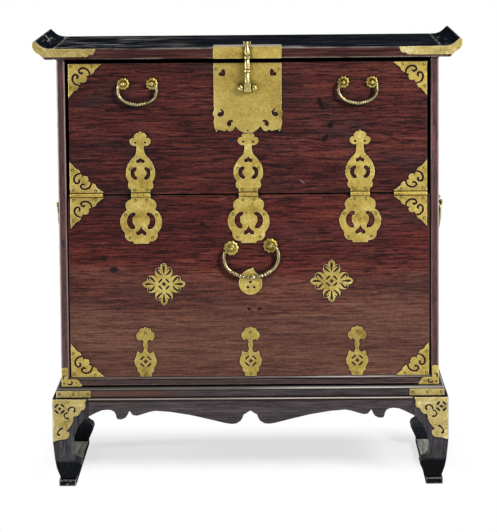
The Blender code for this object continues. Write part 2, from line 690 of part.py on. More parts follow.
# hasp plate folded over the top board's front edge, with a clevis and its pin
fold_front = top_front - GAP - PLATE_T
flap_top = z_top + GAP + PLATE_T
fold = [
    (top_front - GAP, z_under), (fold_front, z_under), (fold_front, flap_top),
    (top_front + HASP_FLAP, flap_top), (top_front + HASP_FLAP, z_top + GAP), (top_front - GAP, z_top + GAP),
]
ear_r = HASP_PIN_R * 3
ear_foot = hasp_z - HASP_PIVOT_UP * 1.8
ear_root, ear_flat = fold_front + PLATE_T / 2, ear_r * 0.4
ear = [
    (ear_root, ear_foot), (ear_root, flap_top - PLATE_T / 4), (hasp_y + ear_r, hasp_z + ear_flat),
    (hasp_y + ear_flat, hasp_z + ear_r), (hasp_y - ear_flat, hasp_z + ear_r),
    (hasp_y - ear_r, hasp_z + ear_flat), (hasp_y - ear_r, hasp_z - ear_flat),
    (hasp_y - ear_flat, hasp_z - ear_r),
]
ears = [prism(ear, *sorted((s * EAR_X, s * (EAR_X + EAR_T))), along_x) for s in (-1, 1)]
clevis_pin = prism(circle(hasp_y, hasp_z, HASP_PIN_R), -EAR_X - EAR_T / 2, EAR_X + EAR_T / 2, along_x)
fold_plate = prism(fold, -LOCK_W / 2, LOCK_W / 2, along_x)
node("hasp_plate", combine(fold_plate, [*ears, clevis_pin], "UNION"), brass)

turning = lathe([(r * MM, -d * MM) for r, d in HASP_TURNING], ROUND)
wide, deep, block_top, block_foot = (v * MM for v in HASP_BLOCK)
block = box(-wide / 2, wide / 2, -deep / 2, deep / 2, -block_foot, -block_top)
hasp = combine(turning, [block], "UNION")
eye_z = z_head - EYE_DROP - hasp_z
drills = [
    prism(circle(0, 0, HASP_PIN_R + GAP), -EYE_X, EYE_X, along_x),
    prism(circle(0, eye_z, EYE_HOLE_R), -EYE_X, EYE_X, along_x),
]
hasp = combine(hasp, drills, "DIFFERENCE")
node("hasp", moved(hasp, Matrix.Translation((0, hasp_y, hasp_z))), brass, (0, hasp_y, hasp_z))


# drop handles: a bail whose pintles turn in two eye posts
def bail(table, half):
    right = [(half + PINTLE_IN * MM, 0.0, PINTLE_R), (half + PINTLE_OUT * MM, 0.0, PINTLE_R)]
    right += [(half + a * MM, b * MM, r * MM) for a, b, r in table[:-1]]
    foot = (0.0, table[-1][1] * MM, table[-1][2] * MM)
    line = right + [foot]
    curved = [right[0], *smooth(line[1:], 2)]
    return tube(curved + [(-a, b, r) for a, b, r in reversed(curved[:-1])])


def eye_post(rosette_r):
    profile = [
        (rosette_r, 0), (rosette_r, ROSETTE_T * 0.4), (rosette_r * 0.6, ROSETTE_T), (POST_R, ROSETTE_T * 1.6),
        (POST_R, STANDOFF - POST_BALL_R), (POST_BALL_R, STANDOFF - POST_BALL_R * 0.4),
        (POST_BALL_R, STANDOFF + POST_BALL_R * 0.4), (POST_BALL_R * 0.5, STANDOFF + POST_BALL_R),
    ]
    drill = prism(circle(0, STANDOFF, PINTLE_R + GAP), -POST_BALL_R * 2, POST_BALL_R * 2, along_x)
    return combine(lathe(profile, ROSETTE_SIDES, (0, 1)), [drill], "DIFFERENCE")


def handle(name, bail_shape, post_shape, half, frame, pivot):
    """frame takes local X along the pintles, -Y outward and Z up, from the foot of the posts."""
    lifted = frame @ Matrix.Translation((0, -STANDOFF, 0))
    axis = lifted.translation
    node(f"bail_{name}", moved(bail_shape, lifted), brass, axis)
    for side, sign in (("a", -1), ("b", 1)):
        place = frame @ Matrix.Translation((sign * half, 0, 0)) @ outward
        node(f"post_{name}_{side}", moved(post_shape, place), brass, pivot or axis)


door_bail, lower_bail = bail(DOOR_BAIL, DOOR_BAIL_HALF), bail(LOWER_BAIL, LOWER_BAIL_HALF)
door_post, lower_post = eye_post(ROSETTE_R), eye_post(BIG_ROSETTE_R)
for side, sign in (("left", -1), ("right", 1)):
    frame = Matrix.Translation((sign * (half_w - DOOR_BAIL_IN), plate_back, z_head - DOOR_BAIL_DROP))
    handle(f"door_{side}", door_bail, door_post, DOOR_BAIL_HALF, frame, hinge)
tilt = Matrix.Rotation(radians(-LOWER_BAIL_TILT), 4, "Y")
frame = Matrix.Translation((LOWER_BAIL_X, plate_back, z_pin - LOWER_BAIL_DROP)) @ tilt
handle("lower", lower_bail, lower_post, LOWER_BAIL_HALF, frame, None)
case_mid = (front + back) / 2
for side, sign in (("left", -1), ("right", 1)):
    turn = Matrix.Rotation(sign * pi / 2, 4, "Z")
    frame = Matrix.Translation((sign * (half_w + GAP), case_mid, z_pin - SIDE_BAIL_DROP)) @ turn
    handle(f"side_{side}", lower_bail, lower_post, LOWER_BAIL_HALF, frame, None)

# peach plate under the lower bail
first, sweep, steps = PEACH_ARC
arc = [
    (PEACH_R * cos(radians(first + sweep * i / steps)), PEACH_R * sin(radians(first + sweep * i / steps)))
    for i in range(steps + 1)
]
peach_holes = [circle(a, b, PEACH_HOLE_R) for a, b in PEACH_HOLES]


def peach_put(a, b, t):
    return (PEACH_X + a, t, z_pin - PEACH_DROP + b)


peach = scaled(arc + PEACH_TIP[::-1])
node("peach_plate", prism(peach, plate_front, plate_back, peach_put, [scaled(h) for h in peach_holes]), brass)

# leg mounts
leg_slots = [slot([(COIN[0] + a, COIN[1] + b, w) for a, b, w in COIN_SLOT])]
for quarter in range(1, 4):
    c, s = cos(pi / 2 * quarter), sin(pi / 2 * quarter)
    leg_slots.append([
        (COIN[0] + c * (a - COIN[0]) - s * (b - COIN[1]), COIN[1] + s * (a - COIN[0]) + c * (b - COIN[1]))
        for a, b in leg_slots[0]
    ])
leg_slots.append(circle(*COIN, COIN_CORE, 4))
leg_slots += [slot(line) for line in LEG_SCROLLS]
for side, sign in (("left", -1), ("right", 1)):
    def leg_put(a, b, t, sign=sign):
        return (sign * (skirt_half - a), t, z_skirt - b)
    lo, hi = skirt_front - GAP - PLATE_T, skirt_front - GAP
    shape = prism(scaled(LEG_PLATE), lo, hi, leg_put, [scaled(h) for h in leg_slots])
    node(f"leg_mount_{side}", shape, brass)
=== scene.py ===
# Looks for a fall-front chest with pierced brass mounts on a low stand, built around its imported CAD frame.
import json
import math
from itertools import product

import bmesh
import bpy
from mathutils import Matrix, Vector


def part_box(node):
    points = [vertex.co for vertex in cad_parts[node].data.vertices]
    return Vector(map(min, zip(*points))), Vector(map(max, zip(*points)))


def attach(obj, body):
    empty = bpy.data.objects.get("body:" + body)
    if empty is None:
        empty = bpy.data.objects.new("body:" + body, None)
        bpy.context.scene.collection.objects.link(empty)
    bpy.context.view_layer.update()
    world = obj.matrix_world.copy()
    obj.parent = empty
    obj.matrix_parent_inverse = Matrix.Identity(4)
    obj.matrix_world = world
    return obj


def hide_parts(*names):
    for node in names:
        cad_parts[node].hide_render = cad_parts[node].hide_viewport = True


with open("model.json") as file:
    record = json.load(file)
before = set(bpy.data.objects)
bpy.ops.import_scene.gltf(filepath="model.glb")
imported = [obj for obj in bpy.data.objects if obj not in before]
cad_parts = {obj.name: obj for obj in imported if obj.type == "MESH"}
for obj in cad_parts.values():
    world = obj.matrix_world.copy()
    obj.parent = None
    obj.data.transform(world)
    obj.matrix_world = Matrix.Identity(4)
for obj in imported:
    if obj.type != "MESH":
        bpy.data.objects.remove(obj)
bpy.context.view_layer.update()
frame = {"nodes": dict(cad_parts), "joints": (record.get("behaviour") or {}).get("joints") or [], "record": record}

scene = bpy.context.scene
mm = 0.001
weld = 0.002 * mm  # corners closer than this are one corner
flatTurn = 0.005  # faces that turn less than this, in radians, are one face
noiseMiddle = 0.5
pinPlace = next(j["pos_m"] for j in frame["joints"] if j["name"] == "fall_front_hinge")
print("frame loaded:", len(frame["nodes"]), "CAD nodes")


def hexColour(text):
    channels = [int(text[i:i + 2], 16) / 255 for i in (0, 2, 4)]
    linear = [c / 12.92 if c <= 0.04045 else ((c + 0.055) / 1.055) ** 2.4 for c in channels]
    return (*linear, 1.0)


def plug(tree, node, inputs):
    # an input takes a number, a hex colour, or a socket or node to link, the node by its first open output
    for key, value in inputs.items():
        if isinstance(value, bpy.types.Node):
            value = next(socket for socket in value.outputs if socket.enabled)
        if isinstance(value, bpy.types.NodeSocket):
            tree.links.new(value, node.inputs[key])
        else:
            node.inputs[key].default_value = hexColour(value) if isinstance(value, str) else value


def addNode(tree, kind, inputs=None, **settings):
    made = tree.nodes.new(kind)
    for key, value in settings.items():
        if key == "stops":
            while len(made.color_ramp.elements) < len(value):
                made.color_ramp.elements.new(1.0)
            for element, (spot, colour) in zip(made.color_ramp.elements, value):
                element.position, element.color = spot, hexColour(colour)
        else:
            setattr(made, key, value)
    plug(tree, made, inputs or {})
    return made


def newMaterial(name):
    material = bpy.data.materials.new(name)
    material.use_nodes = True
    tree = material.node_tree
    return material, tree, tree.nodes["Principled BSDF"]


def stretched(tree, grainAxis, alongMm, acrossMm, detail=3.0, distortion=0.0):
    # noise drawn out along the grain: one blotch is about alongMm long and acrossMm wide;
    # the looks below give each noise as these four values, or as the first two or three
    coords = addNode(tree, "ShaderNodeTexCoord")
    scale = [1 / (acrossMm * mm)] * 3
    scale["XYZ".index(grainAxis)] = 1 / (alongMm * mm)
    mapped = addNode(tree, "ShaderNodeMapping", {"Vector": coords.outputs["Object"], "Scale": scale})
    noise = addNode(tree, "ShaderNodeTexNoise", {
        "Vector": mapped, "Scale": 1.0, "Detail": detail, "Distortion": distortion,
    })
    return noise.outputs["Fac"]


def span(band):
    # the ends of the values that a Map Range takes in
    return {"From Min": band[0], "From Max": band[1]}


def clouded(tree, grainAxis, noise, band, least=0.0, most=1.0):
    # that noise as a mask: least below the band and most above it
    return addNode(tree, "ShaderNodeMapRange", {
        "Value": stretched(tree, grainAxis, *noise), **span(band), "To Min": least, "To Max": most,
    })


def axesOf(tree, what="Object"):
    # X, Y and Z of a place on the piece or, with Normal, of the way its surface looks
    coords = addNode(tree, "ShaderNodeTexCoord")
    return addNode(tree, "ShaderNodeSeparateXYZ", {0: coords.outputs[what]}).outputs


def awayFrom(tree, place, reach, tilt=0.0):
    # distance from a place, 1 at its reach along each axis
    coords = addNode(tree, "ShaderNodeTexCoord")
    spot = addNode(tree, "ShaderNodeMapping", {
        "Vector": coords.outputs["Object"], "Location": place, "Rotation": (0, tilt, 0), "Scale": reach,
    }, vector_type="TEXTURE")
    return addNode(tree, "ShaderNodeVectorMath", {0: spot}, operation="LENGTH")


def coated(tree, colour, coats):
    # tones laid over a colour one after the other, each as thick as its share
    for share, tone in coats:
        colour = addNode(tree, "ShaderNodeMix", {0: share, 6: colour, 7: tone}, data_type="RGBA")
    return colour


# Where wear, dirt, painted highlights and painted shade lie: from where a mask begins to where it is full. Turns
# are cosines.
wear = {
    "arris": (0.995, 0.86), "breakDetail": 4.0, "breakBand": (0.36, 0.54), "chamfer": (0.97, 0.82),
    "notDown": (-0.4, -0.1), "notFront": (-0.80, -0.5), "up": (0.25, 0.55), "nook": (0.985, 0.70),
    "lipBreaks": (240, 60, 4.0), "lipBand": (0.36, 0.60), "lipLeast": 0.25, "lipSoft": 0.3 * mm,
}


def wornEdges(tree, grainAxis, wornMm):
    # 1 on arrises, rubbed pale by hands and cloth and carrying a painted highlight: reach from the arris, then
    # length and width of the breaks
    reachMm, *breakMm = wornMm
    bevel = addNode(tree, "ShaderNodeBevel", {"Radius": reachMm * mm}, samples=6)
    geometry = addNode(tree, "ShaderNodeNewGeometry")
    facing = addNode(
        tree, "ShaderNodeVectorMath", {0: bevel, 1: geometry.outputs["Normal"]}, operation="DOT_PRODUCT"
    )
    edge = addNode(tree, "ShaderNodeMapRange", {"Value": facing, **span(wear["arris"])})
    rub = clouded(tree, grainAxis, (*breakMm, wear["breakDetail"]), wear["breakBand"])
    return addNode(tree, "ShaderNodeMath", {0: edge, 1: rub}, operation="MULTIPLY")


def turnedTo(tree, axis, band):
    # 0 to 1 across the band, by how far the surface looks along an axis
    return addNode(tree, "ShaderNodeMapRange", {"Value": axesOf(tree, "Normal")[axis], **span(band)})


def facingUp(tree):
    # 1 on the upper side of a board
    return turnedTo(tree, "Z", wear["up"])


def roundedArrisSheen(tree):
    # 1 on chamfers and round arrises, which face along no axis, unless they look down: where a painted highlight
    # lies, as if lit from above
    coords = addNode(tree, "ShaderNodeTexCoord")
    size = addNode(tree, "ShaderNodeVectorMath", {0: coords.outputs["Normal"]}, operation="ABSOLUTE")
    parts = addNode(tree, "ShaderNodeSeparateXYZ", {0: size}).outputs
    most = parts["X"]
    for axis in "YZ":
        most = addNode(tree, "ShaderNodeMath", {0: most, 1: parts[axis]}, operation="MAXIMUM")
    between = addNode(tree, "ShaderNodeMapRange", {"Value": most, **span(wear["chamfer"])})
    return addNode(tree, "ShaderNodeMath", {
        0: between, 1: turnedTo(tree, "Z", wear["notDown"]),
    }, operation="MULTIPLY")


def betweenHeights(tree, top, foot, grainAxis, fade):
    # a band from foot to top for the painted highlights and shade of mouldings, thinned here and there by noise;
    # fade is two places along X and the line's share left of the first and right of the second
    *along, left, right = fade
    place = axesOf(tree)
    away = addNode(tree, "ShaderNodeMath", {0: place["Z"], 1: (top + foot) / 2}, operation="SUBTRACT")
    size = addNode(tree, "ShaderNodeMath", {0: away}, operation="ABSOLUTE")
    rub = clouded(tree, grainAxis, wear["lipBreaks"], wear["lipBand"], wear["lipLeast"])
    side = addNode(tree, "ShaderNodeMapRange", {
        "Value": place["X"], **span(along), "To Min": left, "To Max": right,
    })
    most = addNode(tree, "ShaderNodeMath", {0: rub, 1: side}, operation="MULTIPLY")
    half, soft = (top - foot) / 2, wear["lipSoft"]
    return addNode(tree, "ShaderNodeMapRange", {
        "Value": size, **span((half + soft, half - soft)), "To Max": most,
    })


def nookShadeAndGrime(tree, reachMm, most):
    # painted shade beside another piece, where wax and dust also settle
    nook = addNode(tree, "ShaderNodeAmbientOcclusion", {"Distance": reachMm * mm}, samples=8)
    return addNode(
        tree, "ShaderNodeMapRange", {"Value": nook.outputs["AO"], **span(wear["nook"]), "To Max": most}
    )


def belowHeight(tree, top, foot, breakMm):
    # 0 above top and 1 below foot, with a ragged change between
    ragged = addNode(tree, "ShaderNodeMath", {
        0: stretched(tree, "X", breakMm * 4, breakMm), 1: top - foot, 2: axesOf(tree)["Z"],
    }, operation="MULTIPLY_ADD")
    shift = (top - foot) * noiseMiddle
    return addNode(tree, "ShaderNodeMapRange", {
        "Value": ragged, **span((top + shift, foot + shift)),
    }, interpolation_type="SMOOTHSTEP")


# Elm, planed and wiped with thin red-brown lacquer: the grain stays open, so dark pores run along it in
# dashes, the soft bands drink more colour, old wax blooms grey in clouds, the arrises are rubbed pale and carry
# a painted highlight, and painted shade lies around the bails and mounts that stand off the wood.
# The pores are drawn several times as coarse as real ones, or they wouldn't show.
elmLook = {
    "tones": [(0.31, "281315"), (0.45, "4c2120"), (0.56, "632d27"), (0.72, "844639")],
    "bands": (300, 50, 3.0, 0.6), "streaks": (90, 3.6, 4.0, 0.3), "streakShare": 0.66,
    "flecks": (7, 2.8, 2.0), "fleckShare": 0.35,
    "pore": "160c0e", "pores": (30, 2.4, 2.0), "poreBand": (0.53, 0.61), "poreDepth": 0.85,
    "poreFilled": 0.45,
    "bloom": "32292d", "blooms": (150, 80, 4.0, 0.4), "bloomBand": (0.50, 0.72), "bloomDepth": 0.6,
    "worn": "a5826f", "wornMm": (2.2, 24, 24), "arris": None, "sides": None,
    "shadeAndGrime": "120909", "nookMm": 15.0, "nookDepth": 0.9, "markBand": (1.4, 0.85), "markDepth": 0.97,
    "roughness": (0.28, 0.46), "specular": 0.12, "relief": 0.25, "reliefMm": 0.4,
}

# Dents, ink spots and a scratch: (right of the middle, up from the hinge pin, half length, half width) in mm,
# tilt in degrees, colour
elmMarks = [
    (144, 180, 11.0, 4.4, 62, "120b0c"), (163, 136, 5.4, 5.0, 0, "140c0d"),
    (153, 111, 8.6, 4.2, -55, "120b0c"), (142, 108, 7.0, 1.5, 0, "180e0f"),
    (107, 24, 6.0, 0.8, 40, "8d7a66"), (-110, 246, 3.4, 2.4, 0, "1c1011"),
    (-34, 108, 6.2, 2.4, 0, "24272b"), (-1, -231, 3.6, 2.6, 30, "15100f"),
    (20, -231, 3.6, 2.6, 0, "15100f"), (-4, -225, 3.4, 1.0, 0, "7d5145"),
    (-92, -60, 6.0, 3.0, 0, "1d1112"), (30, -12, 10.0, 2.0, -12, "1d1518"),
    (68, -14, 9.0, 2.2, 0, "1d1518"), (-270, -150, 8.0, 5.0, 0, "1d1517"),
    (-290, -128, 6.0, 4.0, 0, "1d1517"),
]


def lacqueredElm(name, grainAxis, look=elmLook, low=None, marks=(), lines=()):
    # low is how the piece's foot differs; lines are (top, foot, tone, fade): painted highlights on the lips and
    # painted shade in the grooves of a moulding, and some bands of the wood's own colour
    material, tree, shader = newMaterial(name)
    kinds = ("bands", "streaks", "flecks")
    bands, streaks, flecks = (stretched(tree, grainAxis, *look[kind]) for kind in kinds)
    flecks = addNode(tree, "ShaderNodeMath", {0: flecks, 1: noiseMiddle}, operation="SUBTRACT")
    figure = addNode(tree, "ShaderNodeMix", {0: look["streakShare"], 2: bands, 3: streaks})
    figure = addNode(tree, "ShaderNodeMath", {
        0: flecks, 1: look["fleckShare"], 2: figure,
    }, operation="MULTIPLY_ADD")
    colour = addNode(tree, "ShaderNodeValToRGB", {"Fac": figure}, stops=look["tones"])
    bloom = clouded(tree, grainAxis, look["blooms"], look["bloomBand"], most=look["bloomDepth"])
    pores = clouded(tree, grainAxis, look["pores"], look["poreBand"], most=look["poreDepth"])
    coats = [(bloom, look["bloom"])]
    if low:
        # the foot takes other tones with its pores filled: on the legs black paint, on the lower panel a paler
        # tone painted as light thrown up from the floor
        share = belowHeight(tree, low["top"], low["foot"], low["breakMm"])
        other = addNode(tree, "ShaderNodeValToRGB", {"Fac": figure}, stops=low["tones"])
        coats.append((share, other))
        left = addNode(
            tree, "ShaderNodeMapRange", {"Value": share, "To Min": 1.0, "To Max": look["poreFilled"]}
        )
        pores = addNode(tree, "ShaderNodeMath", {0: pores, 1: left}, operation="MULTIPLY")
    coats.append((pores, look["pore"]))
    for x, up, halfLong, halfWide, tilt, tone in marks:
        place, reach = (x * mm, 0, pinPlace[2] + up * mm), (halfLong * mm, 1.0, halfWide * mm)
        mark = addNode(tree, "ShaderNodeMapRange", {
            "Value": awayFrom(tree, place, reach, math.radians(tilt)), **span(look["markBand"]),
            "To Max": look["markDepth"],
        })
        coats.append((mark, tone))
    # pale arrises: wear and a painted highlight
    coats.append((wornEdges(tree, grainAxis, look["wornMm"]), look["worn"]))
    if look["arris"]:
        # painted highlight on chamfers and round arrises
        coats.append((roundedArrisSheen(tree), look["arris"]))
    # faces that don't look forward take the sides tone: painted shade
    if look["sides"]:
        coats.append((turnedTo(tree, "Y", wear["notFront"]), look["sides"]))
    for top, foot, tone, fade in lines:
        coats.append((betweenHeights(tree, top, foot, grainAxis, fade), tone))
    # painted shade beside other pieces, with settled wax and dust
    coats.append((nookShadeAndGrime(tree, look["nookMm"], look["nookDepth"]), look["shadeAndGrime"]))
    gloss = addNode(tree, "ShaderNodeMapRange", {
        "Value": streaks, "To Min": look["roughness"][0], "To Max": look["roughness"][1],
    })
    height = addNode(tree, "ShaderNodeMath", {0: streaks, 1: pores}, operation="SUBTRACT")
    bump = addNode(tree, "ShaderNodeBump", {
        "Height": height, "Strength": look["relief"], "Distance": look["reliefMm"] * mm,
    })
    plug(tree, shader, {
        "Base Color": coated(tree, colour, coats), "Roughness": gloss, "Normal": bump,
        "Specular IOR Level": look["specular"],
    })
    return material


def toned(look, colours, **changes):
    # a look with other colours at the places of its tones, and other changes
    tones = [(spot, colour) for (spot, _), colour in zip(look["tones"], colours.split())]
    return dict(look, tones=tones, **changes)


# Frame wood: the same elm with the lacquer polished by hands, so it is greyer and shinier; its arrises carry
# painted highlights.
frameLook = dict(
    elmLook, tones=[(0.30, "2d1819"), (0.44, "462627"), (0.56, "593131"), (0.72, "7a4e4a")],
    worn="b0a09a", wornMm=(5.5, 160, 40), arris="8a766f", nookMm=5.0, roughness=(0.22, 0.36), specular=0.42,
)
# the fall front is a little darker than the fixed panel, and the sill and top edge darker than the stiles
doorLook = dict(elmLook, tones=[(0.33, "211113"), (0.45, "441f1f"), (0.56, "592b26"), (0.70, "774136")])
sillLook = toned(
    frameLook, "271718 3b2424 4c2e2d 6a4843", arris="9a8982", worn="a8928b", wornMm=(3.0, 140, 30)
)

# Stand wood: the same elm smoked almost black-brown, duller and greyer, with painted highlights on its arrises and
# lips and painted shade in its grooves.
smokedLook = dict(
    elmLook, tones=[(0.30, "2b2526"), (0.44, "3e3738"), (0.56, "4c4546"), (0.72, "635b5c")],
    pore="1a1414", bloom="3d3e45", worn="7d7672", wornMm=(2.6, 220, 30), arris="6d6866", nookMm=5.0,
    roughness=(0.34, 0.52), specular=0.14, fleckShare=0.12, poreDepth=0.45,
)
# legs: the faces that don't look forward are painted dark as shade
legLook = toned(
    smokedLook, "2e2c2e 434043 524f52 696669", worn="4c4849", wornMm=(2.2, 40, 24), arris=None,
    sides="1b1e22", specular=0.05,
)

# Black lacquer: brushed on thick, now dull, with pale scratches along the board, most at its left end, a
# patch behind the hasp that hands have rubbed, and a skin worn through to grey at the arrises, where the grey
# also stands as a painted highlight. It is too dull to mirror anything. The scratches are drawn many times
# as wide as real ones, or they wouldn't show.
blackLook = {
    "ground": "11141b", "haze": "1f232b", "hazes": (170, 34, 5.0, 0.8), "hazeBand": (0.46, 0.66),
    "scratch": "b7b5b0", "scratches": (110, 3.0), "scratchBand": (0.42, 0.54),
    "scuffs": (95, 13, 6.0, 0.3), "scuffBand": (0.555, 0.63), "usedAlong": (-0.06, -0.25), "plainShare": 0.12,
    "handPlace": (0.012, -0.205, 0.8812), "handReach": (0.15, 0.085, 1.0), "handEdge": (1.0, 0.5),
    "handRubs": (60, 16, 4.0, 0.6), "handBand": (0.44, 0.58), "handDepth": 0.8,
    "worn": "b0a89d", "wornMm": (5.0, 70, 26), "roughness": 0.6, "specular": 0.0,
}


def blackLacquer(name, grainAxis, under, share, look=blackLook):
    # share(tree) says where the lacquer lies; elsewhere the tones under it show
    material, tree, shader = newMaterial(name)
    haze = clouded(tree, grainAxis, look["hazes"], look["hazeBand"])
    used = addNode(tree, "ShaderNodeMapRange", {
        "Value": axesOf(tree)["X"], **span(look["usedAlong"]), "To Min": look["plainShare"],
    })
    pale = clouded(tree, grainAxis, look["scratches"], look["scratchBand"])
    for other in (clouded(tree, grainAxis, look["scuffs"], look["scuffBand"]), used):
        pale = addNode(tree, "ShaderNodeMath", {0: pale, 1: other}, operation="MULTIPLY")
    near = addNode(tree, "ShaderNodeMapRange", {
        "Value": awayFrom(tree, look["handPlace"], look["handReach"]), **span(look["handEdge"]),
    })
    rubbed = clouded(tree, grainAxis, look["handRubs"], look["handBand"], most=look["handDepth"])
    patch = addNode(tree, "ShaderNodeMath", {0: near, 1: rubbed}, operation="MULTIPLY")
    pale = addNode(tree, "ShaderNodeMath", {0: pale, 1: patch}, operation="MAXIMUM")
    lacquer = coated(tree, look["ground"], [(haze, look["haze"]), (pale, look["scratch"])])
    streaks = stretched(tree, grainAxis, *elmLook["streaks"])
    bare = addNode(tree, "ShaderNodeValToRGB", {"Fac": streaks}, stops=under)
    # pale arrises: lacquer worn to grey, and a painted highlight
    colour = coated(tree, bare, [
        (share(tree), lacquer), (wornEdges(tree, grainAxis, look["wornMm"]), look["worn"]),
    ])
    plug(tree, shader, {
        "Base Color": colour, "Roughness": look["roughness"], "Specular IOR Level": look["specular"],
    })
    return material


# pale tones on the runner's upper side: bare wood, and painted light
runnerPalePatch = {
    "behind": (-14 * mm, 10 * mm), "tones": [(0.3, "62625a"), (0.5, "92928a"), (0.7, "b4b4a8")],
}


def awayFromPalePatch(tree):
    # the lacquer's share: the runner's upper side behind the front leg is pale instead, wood rubbed bare, and
    # painted light falling on it from above
    behind = addNode(tree, "ShaderNodeMapRange", {"Value": axesOf(tree)["Y"], **span(runnerPalePatch["behind"])})
    palePatch = addNode(tree, "ShaderNodeMath", {0: behind, 1: facingUp(tree)}, operation="MULTIPLY")
    return addNode(tree, "ShaderNodeMath", {0: 1.0, 1: palePatch}, operation="SUBTRACT")


# Sheet and cast brass, cut and filed by hand, then handled for years: satin, yellow where rubbed,
# olive-brown where tarnish has settled, painted brightest on the filed edges as worn metal and highlight,
# and painted dark as shade beside other pieces.
brassLook = {
    "tones": [(0.34, "937b38"), (0.45, "bba152"), (0.56, "cdb661"), (0.68, "e6d78e")],
    "patches": (41.6, 26, 4.0, 0.5), "specks": (3.2, 3.2), "speckShare": 0.4,
    "tarnish": "6b5527", "blots": (15.6, 15.6, 5.0, 0.8), "blotBand": (0.56, 0.74), "dull": 0.38,
    "bright": "fbf3cf", "wornMm": (1.1, 9, 9), "shadeAndGrime": "2b2112", "nookMm": 2.6, "nookDepth": 0.9,
    "dents": (9, 9, 2.0), "dent": 0.16, "dentDeepMm": 0.5, "pitShare": 0.35, "roughness": (0.36, 0.54),
}


def agedBrass(name, look=brassLook, dustAndSheenTop=None):
    # the top tone is for what looks up: dust and wax dull it so it mirrors no lamp, and its pale grey is a painted
    # sheen
    material, tree, shader = newMaterial(name)
    patches, specks, dents = (stretched(tree, "X", *look[kind]) for kind in ("patches", "specks", "dents"))
    blend = addNode(tree, "ShaderNodeMix", {0: look["speckShare"], 2: patches, 3: specks})
    colour = addNode(tree, "ShaderNodeValToRGB", {"Fac": blend}, stops=look["tones"])
    coats = [
        (clouded(tree, "X", look["blots"], look["blotBand"], most=look["dull"]), look["tarnish"]),
        # filed edges painted bright: worn metal and a painted highlight
        (wornEdges(tree, "X", look["wornMm"]), look["bright"]),
        # painted shade in nooks beside other pieces, with settled dirt
        (nookShadeAndGrime(tree, look["nookMm"], look["nookDepth"]), look["shadeAndGrime"]),
    ]
    finish = {"Metallic": 1.0}
    if dustAndSheenTop:
        up = facingUp(tree)
        coats.append((up, dustAndSheenTop))
        clean = addNode(tree, "ShaderNodeMapRange", {"Value": up, "To Min": 1.0, "To Max": 0.0})
        finish = {"Metallic": clean, "Specular IOR Level": 0.0}
    gloss = addNode(tree, "ShaderNodeMapRange", {
        "Value": specks, "To Min": look["roughness"][0], "To Max": look["roughness"][1],
    })
    uneven = addNode(tree, "ShaderNodeMix", {0: look["pitShare"], 2: dents, 3: specks})
    bump = addNode(tree, "ShaderNodeBump", {
        "Height": uneven, "Strength": look["dent"], "Distance": look["dentDeepMm"] * mm,
    })
    plug(tree, shader, {
        **finish, "Base Color": coated(tree, colour, coats), "Roughness": gloss, "Normal": bump,
    })
    return material


# Plain planed boards inside and behind: unlacquered elm gone grey-brown.
bareLook = dict(
    elmLook, tones=[(0.36, "4a382c"), (0.46, "624b3b"), (0.54, "735b48"), (0.64, "86705b")],
    pore="3a2a20", worn="9b8873", shadeAndGrime="2c2119", poreDepth=0.4, roughness=(0.55, 0.75), specular=0.3,
)

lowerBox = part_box("lower_front")
# the lower panel's foot is painted paler, as light thrown up from the floor
panelFoot = {
    "tones": [(0.28, "4b3430"), (0.44, "603e35"), (0.56, "734e41"), (0.74, "896351")],
    "top": lowerBox[0].z + 0.26, "foot": lowerBox[0].z + 0.09, "breakMm": 40,
}
blackFeet = {
    "tones": [(0.36, "090a0d"), (0.50, "0f1114"), (0.64, "1c1f25")],
    "top": 57 * mm, "foot": 49 * mm, "breakMm": 9,
}
sillBox, waistBox, apronBox = (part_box(node) for node in ("sill", "waist_board", "apron_front"))
sillTop, waistTop, apronTop = sillBox[1].z, waistBox[1].z, apronBox[1].z
panelElm = lacqueredElm("lacqueredElmPanel", "X", doorLook, marks=elmMarks)
lowerElm = lacqueredElm("lacqueredElmLower", "X", low=panelFoot, marks=elmMarks)
frameUpright = lacqueredElm("lacqueredElmUpright", "Z", frameLook)
# fades along the lips: their painted highlights are brightest on the right half, towards the key lamp, and painted
# darker on the left
brightRight, shadedLeft = (-0.02, 0.10, 0.15, 1.0), (-0.02, 0.10, 1.0, 0.0)
brighterRight, brownLeft = (-0.30, 0.10, 0.35, 1.0), (-0.20, -0.11, 0.65, 0.0)
even = (-0.1, 0.1, 1.0, 1.0)
# the sill's bead: a painted highlight, painted darker on the left, and painted shade in the groove below it
frameLong = lacqueredElm("lacqueredElmSill", "X", sillLook, lines=[
    (sillTop + 0.3 * mm, sillTop - 2.8 * mm, "4f4039", shadedLeft),
    (sillTop - 0.2 * mm, sillTop - 2.8 * mm, "c3bdb8", brightRight),
    (sillTop - 4.4 * mm, sillTop - 9.4 * mm, "2c1a18", even),
])
smokedLong = lacqueredElm("smokedElmLong", "X", smokedLook)
# the waist: a brown band on the left, the lip's painted highlight, painted darker on the left, and painted shade
# under the lip
smokedWaist = lacqueredElm("smokedElmWaist", "X", smokedLook, lines=[
    (waistTop - 6.4 * mm, waistBox[0].z, "70493d", brownLeft),
    (waistTop + 0.3 * mm, waistTop - 3.9 * mm, "35332f", shadedLeft),
    (waistTop - 1.8 * mm, waistTop - 3.9 * mm, "b6b3a9", brightRight),
    (waistTop - 4.6 * mm, waistTop - 6.4 * mm, "221b19", even),
])
apronLook = toned(smokedLook, "2e2829 433b3d 524a4c 6a6163")
# painted shadow under the apron bead
smokedApron = lacqueredElm("smokedElmApron", "X", apronLook, lines=[
    (apronTop - 3.6 * mm, apronTop - 6.2 * mm, "201715", even),
])
